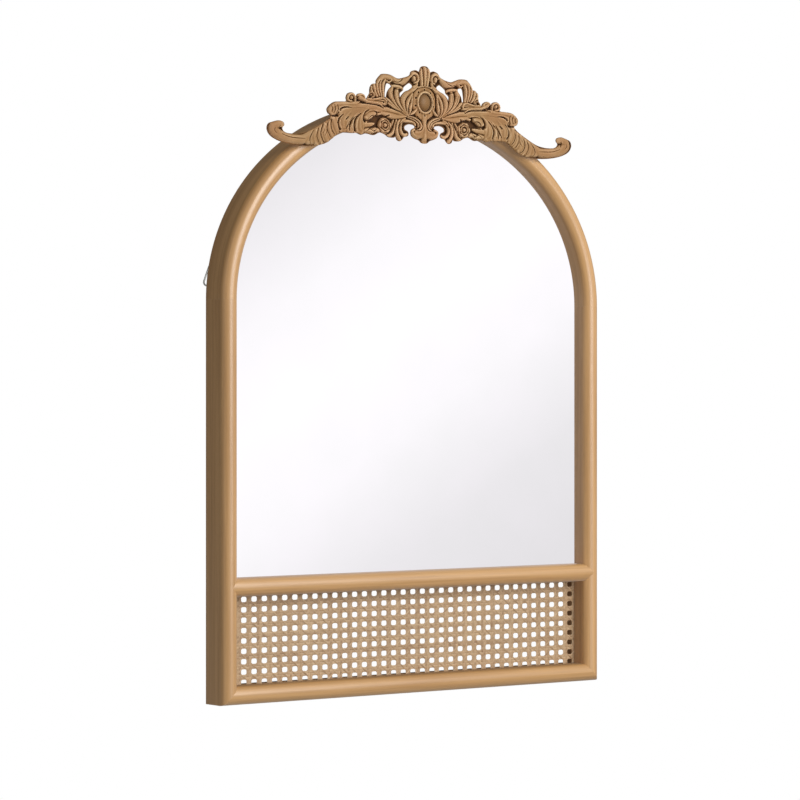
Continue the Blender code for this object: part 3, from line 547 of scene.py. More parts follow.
def slanting_strands(hand, rng):
    """Each passes over the pairs one way and under them the other way."""
    strands = []
    columns, rows = ((CANE_MOST[way] - CANE_LEAST[way]) / CANE_PITCH[way] for way in (0, 1))
    for number in range(-math.ceil(rows) - CANE_SPARE_ROWS, math.ceil(columns + rows) + CANE_SPARE_ROWS):
        share = np.linspace(-CANE_SPARE_ROWS, rows + CANE_SPARE_ROWS, CANE_SLANT_STEPS)
        x = CANE_PAIRS_AT[0] + (number + hand * share) * CANE_PITCH[0]
        z = CANE_PAIRS_AT[1] - CANE_PITCH[1] / 2 + (share - math.ceil(rows)) * CANE_PITCH[1]
        inside = (x > CANE_LEAST[0]) & (x < CANE_MOST[0]) & (z > CANE_LEAST[1]) & (z < CANE_MOST[1])
        if inside.sum() >= CANE_LEAST_STEPS:
            bends = -hand * CANE_SLANT_SWAY * np.cos(2 * np.pi * share[inside])
            route = np.stack([x, z], axis=1)[inside]
            strands.append(strand(route, CANE_SLANT_WIDTH, rng.random(), bends))
    return strands


def make_cane():
    """Woven cane: uprights and levels in pairs, and slanting strands both ways between the gaps."""
    rng = np.random.default_rng(CANE_SEED)
    strands = straight_strands(0, rng) + straight_strands(1, rng)
    strands += slanting_strands(1, rng) + slanting_strands(-1, rng)
    points, grain, tints = (np.concatenate(parts) for parts in zip(*strands))
    faces = []
    start = 0
    count = len(CANE_SECTION_SHARES)
    for places, _, _ in strands:
        faces += tube_faces(count, len(places) // count, start)
        start += len(places)
    cane = new_mesh("woven_cane", points, faces, CANE, smooth_angle=50.0, grain=grain, tint=tints)
    face_outward(cane)
    install(cane, "cane", "cane_panel")


def fine_bar(name, low, high):
    """A straight bar between two corners, with softened arrises."""
    shape = bmesh.new()
    bmesh.ops.create_cube(shape, size=1.0)
    for corner in shape.verts:
        corner.co = [(low[i] + high[i]) / 2 + corner.co[i] * (high[i] - low[i]) for i in range(3)]
    bmesh.ops.bevel(shape, geom=shape.edges[:], offset=BATTEN_ARRIS, segments=2, profile=0.5, affect="EDGES")
    shape.verts.index_update()
    points = [tuple(corner.co) for corner in shape.verts]
    faces = [[corner.index for corner in face.verts] for face in shape.faces]
    shape.free()
    return new_mesh(name, points, faces, PLAIN_WOOD)


def fine_pin(name, low, high):
    """An upright round pin between two corners."""
    radius = (high.x - low.x) / 2
    middle = (low + high) / 2
    points = []
    for step in range(PIN_STEPS):
        turn = 2 * math.pi * step / PIN_STEPS
        points.append((middle.x + radius * math.cos(turn), middle.y + radius * math.sin(turn), low.z))
    points += [(x, y, high.z) for x, y, _ in points]
    return new_mesh(name, points, tube_faces(PIN_STEPS, 2), STEEL)


def make_battens():
    """The cane's battens and pins. At the foot they end at the rail's top, so the last gaps stay clear."""
    head = MID_LOW.z - BATTEN_HEAD_PROUD
    sill = RAIL_HIGH.z
    spans = {
        "top_batten": (head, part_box("top_batten")[1].z),
        "bottom_batten": (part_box("bottom_batten")[0].z, sill),
        "left_batten": (sill + FIT, head - FIT),
        "right_batten": (sill + FIT, head - FIT),
    }
    for node, (foot, top) in spans.items():
        low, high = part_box(node)
        bar = fine_bar("fine_" + node, (low.x, low.y, foot), (high.x, high.y, top))
        install(bar, "plain_wood", node)
    for _, word in SIDES:
        for end in ("sill", "head"):
            node = f"{word}_{end}_pin"
            low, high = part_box(node)
            if end == "sill":
                high.z = sill + PIN_PROUD
            else:
                low.z = head - PIN_PROUD
            install(fine_pin("fine_" + node, low, high), "zinc_steel", node)


# Crest, drawn in millimetres for one half, with x from the middle and z up from the pendant's tip.
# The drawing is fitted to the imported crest, and heights are over the crest's board.
DRAWN_HALF_WIDTH = 267.46
DRAWN_HEIGHT = 108.5
OUTLINE_STEPS = 5
OUTLINE_REACH = 8.0
RELIEF_STEP = 0.5
RELIEF_LOW = -16.0
RELIEF_MARGIN = 2.0
GROUND = -0.8
DEEPEST = -2.4
EDGE_LIFT = 5.0
EDGE_RISE = 4.2
EDGE_ROUND = 3.0
EDGE_WALL = -3.2
EDGE_LEAST = 4.2
EDGE_SHELF = 1.2
EDGE_FALL = 2.0
RIM_CUT_SHARE = 0.4
BACK_BEVEL = 1.25
LEAST_STEEPNESS = 0.25
ARCH_PASSES = 5

# Lightness runs from 0 in a hollow, dark with stain wash and painted shade, to 1 on a ridge
SHADE_MIDDLE = 0.5
FINE_STAIN_AND_SHADE = 0.5
FINE_PASSES = 4
BROAD_PAINTED_SHADE = 0.14
BROAD_PASSES = 40
LOW_GROUND_PAINTED_SHADE = 0.07
LOW_HEIGHT = 4.5
# Near the outline the painted shade stops at a limit, and the back has one plain tone
EDGE_SHADE_LIMIT = 0.42
EDGE_SHADE_LIMIT_REACH = 2.2
BACK_TONE = 0.6

# Cabochon: an oval boss on its seat, in a bead on a plate
CABOCHON_CENTRE = (0.0, 57.4)
CABOCHON_HALF = (11.3, 12.8)
CABOCHON_SEAT = 1.0
CABOCHON_STEPS = 48
CABOCHON_RINGS = 14
CABOCHON_ROUNDNESS = 0.9
# Painted shade on the boss: lightest on the crown, darker toward the rim
CROWN_LIGHTNESS = 0.8
RIM_PAINTED_SHADE = 0.7
SEAT_MARGIN = 0.3
PLATE_MARGINS = (3.6, 3.8)
PLATE_HEIGHT = 6.2
PLATE_FALL = 1.2
PLATE_FLAT_SHARE = 0.93
PLATE_FALL_SHARE = 0.07
BEAD_MARGIN = 1.5
BEAD_REACH = 11.0
BEAD_HALF_WIDTH = 1.1
BEAD_FOOT = 6.0
BEAD_RISE = 1.4

# Rosette: a ball, a whorl and a ring of petals
ROSETTE = (69.6, 22.4)
ROSETTE_RADII = (3.6, 5.7, 8.9, 10.9)
BALL_HEIGHT = 8.2
WHORL_HEIGHT = 7.0
WHORL_HALF_WIDTH = 1.3
WHORL_SWING = 0.3
PETALS = 6
PETAL_HEIGHT = 7.0
PETAL_SWING = 0.6
PETAL_CUT = 2.0
PETAL_CUT_SHARPNESS = 6
PETAL_CUT_START = 1.0
PETAL_TWIST = 0.35
PETAL_GROUND = 3.0

CREST_OUTLINE_MM = (
    (0, 108.5), (4, 108), (7, 105.6), (8.6, 102), (9.8, 100.2), (16, 102), (23.6, 99.3), (26.5, 94),
    (36, 90.6), (46.5, 88.7), (55.5, 91.4), (63, 93.6), (74, 93.4), (78.8, 90), (82.6, 86), (84.6, 82.4),
    (84.8, 79.8), (90.6, 78.6), (94.2, 74.6), (95.4, 70), (95.8, 65), (99.2, 60), (101.2, 56.8),
    (104, 61.6), (110, 64.6), (116, 63.4), (118.6, 60.4), (121.6, 63.4), (127.6, 65), (133.4, 62.6),
    (135.8, 57.4), (135.4, 52.4), (145, 51.6), (155, 50.6), (163, 46.2), (168, 40), (166, 34.4),
    (161.2, 31), (169, 24), (184, 15.6), (201, 7.6), (216, 4.2), (232, 4), (239.5, 6.2), (242, 10.6),
    (238.8, 14.6), (240.6, 18.8), (248, 20.6), (257, 18.6), (265, 15.4), (267.4, 8.2), (262.5, 0),
    (252, -5.6), (239, -9.2), (223, -11.6), (203, -12.4), (185, -10.6), (173.5, -8), (165, -4.2),
    (153.8, 3.9), (145.2, 8.7), (125.4, 9), (118, 9.6), (110, 7.4), (103.5, 9.4), (97.5, 9.2), (88, 8),
    (78.5, 12), (70, 10.4), (62.5, 6.4), (54, 6), (50.4, 7.6), (48, 3.4), (43, 1.6), (38.6, 4.4), (36, 7.6),
    (29.6, 9.2), (27.6, 12.8), (29.6, 16), (34.6, 18.6), (34.4, 23), (27.4, 25.8), (19, 25), (16.8, 22),
    (22.4, 19), (24.4, 14.6), (22.2, 9.4), (16.4, 6.2), (9.6, 4.2), (4.8, 0.8), (0, 0),
)
WINDOW_OUTLINES_MM = (
    ((21, 79), (26, 83.2), (31.4, 80.8), (36.6, 76.6), (37.6, 72.6), (43, 68.2), (42.4, 62.8), (39.2, 66.6),
     (33.8, 71.2), (26.4, 74.2)),
    ((58, 77), (60.6, 80), (66.4, 80.2), (68.6, 72), (69.2, 62.8), (67, 61.4), (65.2, 68), (61.8, 73.2)),
)
# Strokes hold (x, z, half width, height)
STROKES_MM = {
    "ring_band": ((0, 70.5, 9, 4.6), (0, 62, 20, 4.8), (0, 52, 20, 4.8), (0, 43, 10, 4.6)),
    "lobe_outer": ((28.5, 38, 1.2, 4.8), (34.5, 45, 2.8, 6.2), (37.6, 52.5, 3.8, 7), (37.2, 60, 4.4, 7.2),
        (32.5, 66.8, 4.4, 7.2), (25, 71.6, 3.8, 6.8), (17.5, 75.4, 3, 6.2), (12.5, 79, 2.2, 5.6)),
    "lobe_middle": ((28.2, 38.4, 1, 4.6), (30.4, 44.5, 2, 6), (30.6, 51, 2.7, 6.8), (28.8, 58, 3.2, 7),
        (25.6, 64, 3.2, 6.8), (22.4, 69, 2.4, 6.2)),
    "lobe_inner": ((27, 38.6, 1, 4.4), (25.2, 43.5, 2, 5.8), (24.4, 50, 2.9, 6.4), (23.2, 56.5, 2.6, 6.4),
        (22, 63.5, 2, 6), (21.6, 69, 1.6, 5.6)),
    "band_leaf": ((24, 39.6, 1.2, 5), (19.6, 42, 2.4, 6), (15.4, 46, 2.4, 6.2), (13, 50, 1.4, 5.4)),
    "arm_outer": ((29.4, 37.6, 1, 4.6), (22, 36.2, 1.5, 6), (15, 33.8, 1.8, 6.6), (9.4, 30.2, 2, 6.8),
        (6.2, 25.2, 2.1, 6.8), (7.2, 20.4, 2.1, 6.6), (11.4, 18.4, 1.8, 6)),
    "arm_inner": ((28.4, 35.4, 1, 4.4), (21, 33.2, 1.5, 5.4), (14.6, 30.4, 1.8, 5.8), (11.2, 26.8, 1.9, 6),
        (10.9, 23.2, 1.7, 5.8), (14, 21.4, 1.3, 5.2)),
    "arm_arch": ((37, 30.4, 3, 5.2), (31, 30.4, 2.6, 4.8), (24, 30.2, 2.2, 4.6), (17.6, 28.4, 2, 4.4),
        (14.8, 25, 1.8, 4.4)),
    "pendant_web": ((0, 33, 4, 5.6), (0, 27, 3.4, 6), (1, 20.6, 4.4, 6.4), (4.4, 14.6, 7.4, 6.6),
        (14, 12.6, 6, 6.6)),
    "pendant_stem": ((0, 40, 7.6, 5.6), (0, 35, 5.4, 6), (0, 28, 3.4, 6.6), (0, 20, 3.2, 7.2),
        (0, 12, 5.4, 7.2), (0, 6, 5.4, 5.8), (0, 2.4, 4.4, 4.4)),
    "pendant_lobe": ((4.6, 15, 3.6, 6.8), (10, 10.6, 4.6, 6.8), (16, 10.6, 4.2, 6.8), (21, 13.4, 3.4, 7),
        (21.8, 16.8, 2.6, 6.8), (18.2, 18.8, 2, 6.4)),
    "shell_centre": ((0, 81.5, 2, 6.8), (0, 90, 2.7, 8), (0, 99, 3.5, 8.2), (0, 104.5, 3.6, 7.6)),
    "shell_side": ((4.8, 81.5, 2.6, 6.2), (5.8, 90, 3, 7.2), (6.8, 98, 3.2, 7.4), (6.6, 103, 2.8, 6.8)),
    "shell_collar": ((0, 79.9, 1.2, 6.4), (6, 79.6, 1.2, 6.4), (11.6, 77.8, 1.2, 6)),
    "link": ((60, 90.4, 3.6, 6.6), (54, 87.4, 4, 6.6), (47.5, 84, 4.6, 6.4), (41, 83.6, 5, 6.2),
        (35, 86, 4.8, 6.4), (29.4, 90.2, 4.2, 6.8), (24, 94.6, 3.6, 7.2), (18, 97.2, 3, 7.4),
        (13.2, 94.6, 2.4, 7.4), (11.6, 89.8, 2.1, 7.2), (13.6, 85.6, 2, 6.8), (17.4, 84.2, 1.8, 6.4)),
    "shell_eye": ((18.6, 88.4, 3.3, 7.4), (19.2, 91.4, 3.2, 7.6)),
    "neck": ((12.6, 85, 2.2, 5.8), (14.6, 80, 3, 5.8), (18.4, 77.4, 2.8, 5.8)),
    "hook_leaf": ((57.6, 77.4, 1.8, 6), (52, 77.8, 2.6, 6.8), (46, 77.2, 2.9, 7.2), (41, 76.2, 2.2, 6.6),
        (38.6, 74.4, 1.3, 5.6)),
    "inner_blade": ((30, 39.4, 0.9, 4.6), (36, 43.6, 1.6, 5.8), (42, 49.4, 2.8, 6.4),
        (46.6, 56.4, 3.6, 6.8), (48.4, 64, 3.9, 6.8), (48.4, 70.6, 3.7, 6.4), (47, 75, 2.8, 5.8)),
    "outer_blade": ((31, 38.8, 0.8, 4.4), (39.4, 43.6, 1.4, 5.6), (46.8, 48.8, 2.2, 6.2),
        (53.4, 55.4, 3.2, 6.6), (57.8, 62.4, 4, 6.8), (59, 69, 4.2, 6.6), (57, 75, 3.4, 6)),
    "sprig_upper": ((42, 43.4, 1, 5), (50, 47.8, 1.7, 5.8), (56.8, 52.4, 2.6, 6.4), (62, 56.4, 3, 6.4),
        (65.6, 59.4, 2, 5.8)),
    "sprig_lower": ((46, 44.4, 1, 5), (54, 48.2, 1.6, 5.6), (60.5, 51.4, 2.2, 6), (65.2, 53.6, 1.8, 5.8)),
    "bud": ((84, 58.4, 1.4, 6.4), (78, 59.6, 1.7, 6.8), (71.6, 59.4, 1.9, 7), (67.6, 56.2, 1.9, 7),
        (67.4, 52.2, 1.6, 6.6)),
    "arch_top": ((58, 87.4, 4.2, 7), (64, 89, 4.6, 7.6), (71, 88.8, 4.6, 7.8), (77, 86.4, 4.4, 7.6),
        (81, 82, 3.4, 7.2)),
    "arch_loop": ((66.6, 84.4, 1.5, 6.6), (63, 82.6, 1.6, 7), (59.6, 84.4, 1.8, 7.4), (59.8, 87.6, 2, 7.6),
        (63.4, 87, 1.6, 7.4)),
    "arch_rib_1": ((70, 86, 3.4, 7.4), (72.8, 79, 3, 7.4), (73, 70, 2.6, 7), (72, 62.4, 2.2, 6.4)),
    "arch_rib_2": ((75.6, 87, 2.6, 7.8), (78.6, 79.6, 2.2, 7.6), (77.8, 70, 2.2, 7), (75.2, 62, 1.8, 6.4)),
    "arch_rib_3": ((80, 85, 2.4, 7.6), (83.2, 79, 2.4, 7.4), (82.4, 71, 2.4, 7), (79, 63.4, 2, 6.4)),
    "arch_lobe_1": ((88.6, 77.4, 2.6, 7.2), (88, 72, 3, 7.6), (86.2, 66.6, 2.6, 7), (82.6, 62, 1.8, 6.4)),
    "arch_lobe_2": ((93, 74, 2.4, 7), (93.4, 70.4, 2.6, 7.2), (91.6, 67.6, 2, 7)),
    "arch_curl": ((98.6, 60.4, 1.4, 6.2), (97, 64.6, 1.5, 6.8), (93, 67.2, 1.6, 7.2), (89, 65.4, 1.6, 7.2),
        (88.4, 61.6, 1.5, 6.8), (91.6, 59.6, 1.3, 6.4)),
    "arch_curl_eye": ((92.6, 63, 1.5, 7), (93, 63.4, 1.5, 7)),
    "stem_web": ((68, 54, 4, 5.4), (84, 54.6, 4.6, 5.6), (100, 54.6, 3.6, 5.6)),
    "upper_stem": ((76, 58.6, 1.2, 5.8), (84, 58.2, 1.6, 6.4), (92, 57.6, 1.5, 6.4), (99.6, 58, 1.3, 5.8)),
    "lower_stem": ((72, 47.8, 1.2, 5.4), (80, 52.2, 1.7, 6.4), (90, 53.4, 1.9, 6.6), (99, 54, 2.3, 6.8),
        (105.5, 56.6, 3.2, 7), (110, 59, 4.4, 7.2), (112.6, 60, 4.2, 7.2)),
    "scroll_2": ((104.6, 58.6, 2.2, 7), (106.8, 61.8, 2.3, 7.4), (111, 62.8, 2.2, 7.6),
        (115.4, 61.6, 2, 7.2), (117.2, 58.4, 1.4, 6.6)),
    "scroll_1": ((120.4, 52.8, 1.7, 6.2), (120.4, 57.4, 1.9, 6.8), (122.8, 61.6, 2.2, 7.2),
        (127.6, 63, 2.4, 7.4), (132.2, 60.6, 2.4, 7.4), (133.4, 56, 2.2, 7.2), (130, 53, 2, 6.8),
        (126.2, 53.2, 1.6, 6.4)),
    "scroll_1_eye": ((126.8, 57.4, 2.6, 7.6), (127.4, 58.8, 2.6, 7.6)),
    "scroll_base": ((112, 52.6, 1.4, 5.8), (120, 51.2, 1.8, 6.4), (128, 50.6, 1.8, 6.4),
        (135.6, 50.4, 1.5, 5.8)),
    "acanthus": ((32, 38.6, 1.6, 4.6), (45, 40.4, 4, 5.2), (60, 42.4, 5.4, 5.6), (75, 43.6, 5.2, 5.6),
        (90, 45.6, 5.6, 6), (110, 45, 6.8, 6.6), (128, 43.4, 8, 6.8), (146, 42, 8.8, 7)),
    "root_leaf": ((32, 36.6, 1.6, 4.8), (44, 35.6, 3.6, 6), (56, 36, 4.8, 6.6), (66, 38.4, 4, 6.2),
        (76, 40, 2.6, 5.8)),
    "bridge": ((68.6, 37.6, 2.4, 5.4), (75, 38.8, 2.4, 5.6), (81, 37.4, 2.2, 5.4)),
    "foot_leaf_1": ((34, 33.2, 2.4, 5), (39.2, 30.2, 2.8, 5.8), (42, 24.6, 2.7, 6.6), (42.4, 18, 2.6, 6.8),
        (39.6, 12.6, 2.8, 6.6), (34.8, 10.4, 2.6, 6), (31, 12, 1.9, 5.2)),
    "foot_leaf_2": ((43, 31.4, 2.2, 5.2), (47, 26.4, 2.5, 6.4), (48.8, 19, 2.9, 6.8),
        (47.6, 11.8, 3.2, 6.6), (44.2, 6.4, 3.4, 5.8), (42.4, 4.6, 2.4, 5)),
    "foot_leaf_3": ((49, 30.6, 1.8, 5.2), (52.2, 25.4, 2.1, 6.2), (54.4, 18.4, 2.8, 6.6),
        (56.4, 12.6, 3.6, 6.4), (60, 9.8, 3.2, 5.8), (63, 9.2, 2.2, 5)),
    "foot_leaf_4": ((54, 30.4, 1.4, 5.2), (57.4, 24.6, 1.6, 6.4), (59.8, 18, 1.7, 6.6),
        (64.2, 13.2, 1.7, 6.2), (69, 11.8, 1.4, 5.6)),
    "curled_leaf": ((84, 42.4, 1.6, 6), (92, 42.4, 2.2, 6.8), (99.6, 40.4, 2.4, 7.2), (105, 36.4, 2.2, 7.4),
        (108, 32, 1.8, 7)),
    "knob": ((87.4, 37.6, 3.4, 7.2), (92, 37.2, 4.8, 8), (97, 34.8, 6, 8.6), (102, 31.6, 4.2, 7.8)),
    "knob_ledge": ((88, 24, 2.4, 3.8), (94, 23.2, 4.2, 4.8), (100.5, 22.4, 5, 5.6), (106, 20.6, 4.4, 6.2)),
    "small_leaf": ((80, 15.4, 3, 5.8), (86, 15.2, 3.8, 6.8), (92, 13.4, 4, 7), (98, 14.4, 4.2, 6.6),
        (104, 14, 3.4, 6)),
    "fan_root": ((100, 45, 3, 6.6), (112, 43, 6, 6.8), (126, 41, 9, 7), (140, 39, 11, 7.2)),
    "fan_front": ((110, 38, 5, 7), (113, 30, 8.4, 7.4), (114.6, 22, 10.4, 7.6), (114, 15, 9.4, 6.8)),
    "fan_middle": ((122, 38, 6, 7), (126.6, 30, 8, 7.2), (130, 22, 9.4, 7.4), (130, 15, 8.6, 6.8)),
    "fan_back": ((134, 38, 7, 7.2), (140.6, 29, 8.6, 7.4), (143.4, 21, 8.8, 7.4), (142, 14, 7.6, 6.8)),
    "finger_1": ((103.6, 41.6, 1.6, 6.6), (108.4, 37, 3, 7.6), (112, 31, 4.4, 8.4), (113.8, 24, 5.4, 8.8),
        (113, 16.6, 5.8, 8.2), (109, 12.4, 4.4, 6.8)),
    "finger_2": ((112, 41, 2, 6.8), (119, 36, 2.6, 7.4), (124.4, 29.4, 2.6, 7.8), (126.6, 23, 2.8, 8.2),
        (126.4, 16, 3, 7.8)),
    "finger_4": ((130, 38, 4, 7.4), (137.4, 31.6, 5, 7.8), (141.6, 25, 6, 8.2), (141.6, 17, 6, 7.8)),
    "shoulder": ((146, 43, 8, 7.2), (152, 42.4, 9, 7.6), (157.4, 40.6, 9.4, 7.8)),
    "shoulder_roll": ((118, 49.4, 2.4, 6.6), (132, 49, 3.2, 7.2), (146, 48.2, 3.6, 7.8),
        (156, 46.4, 4.2, 8.4), (162.6, 42, 4.4, 8.4), (163.6, 37, 3.8, 7.8), (159.6, 34, 2.8, 7)),
    "stem_body": ((150, 22, 9, 6.4), (159, 14.6, 13, 6.6), (170, 8, 13.4, 6.8), (180, 3.6, 12.4, 6.8),
        (190, 0.8, 10.8, 6.8), (200, -2, 8.4, 6.8)),
    "stem_leaf_1": ((158, 27, 4.6, 7.2), (155.6, 20, 6.2, 8), (153, 13, 5.6, 7.6), (151, 9, 3.6, 6.6)),
    "stem_leaf_2": ((165.6, 21.6, 3, 7.2), (165.4, 14, 3.4, 7.6), (162.4, 6.6, 3.6, 7.4),
        (159, 2.6, 2.8, 6.6)),
    "stem_leaf_3": ((171.6, 18.6, 3.4, 7.2), (174, 10.4, 4.8, 7.8), (171.6, 2.4, 5.8, 7.8),
        (168, -2, 4.6, 6.8)),
    "stem_leaf_4": ((180.6, 13, 2.8, 7), (182.6, 4.6, 3.2, 7.4), (180.4, -3, 3.4, 7),
        (177.2, -6.8, 2.4, 6.2)),
    "stem_leaf_5": ((186.6, 9.6, 3.4, 7), (190.4, 1.4, 4.8, 7.4), (188.2, -5.6, 4.4, 7),
        (184.2, -8.8, 2.8, 6)),
    "stem": ((194, 6, 3.6, 5.8), (200, 0.6, 6.2, 6.8), (208, -3.2, 7, 7), (218, -3.8, 6.9, 6.8),
        (230, -3, 6.6, 6.8), (242, -0.6, 7, 7), (251, 3.6, 8, 7.2), (256.4, 8.6, 8.6, 7.4),
        (254.4, 12.6, 7.2, 7.2), (248.6, 15.2, 5.4, 6.8), (243.6, 15.8, 4.6, 6.4)),
}
# A stroke's back is half round at 2, and these are flatter
FLAT_STROKES = {
    "ring_band": 8, "acanthus": 4, "pendant_web": 4, "pendant_stem": 2.6, "root_leaf": 2.6, "knob": 2.6,
    "knob_ledge": 3, "stem_web": 6, "fan_root": 6, "fan_front": 6, "fan_middle": 6, "fan_back": 6,
    "shoulder": 3, "shoulder_roll": 2.6, "stem": 2.6, "stem_body": 4, "stem_leaf_1": 2.6,
    "stem_leaf_3": 2.6, "stem_leaf_5": 2.6,
}
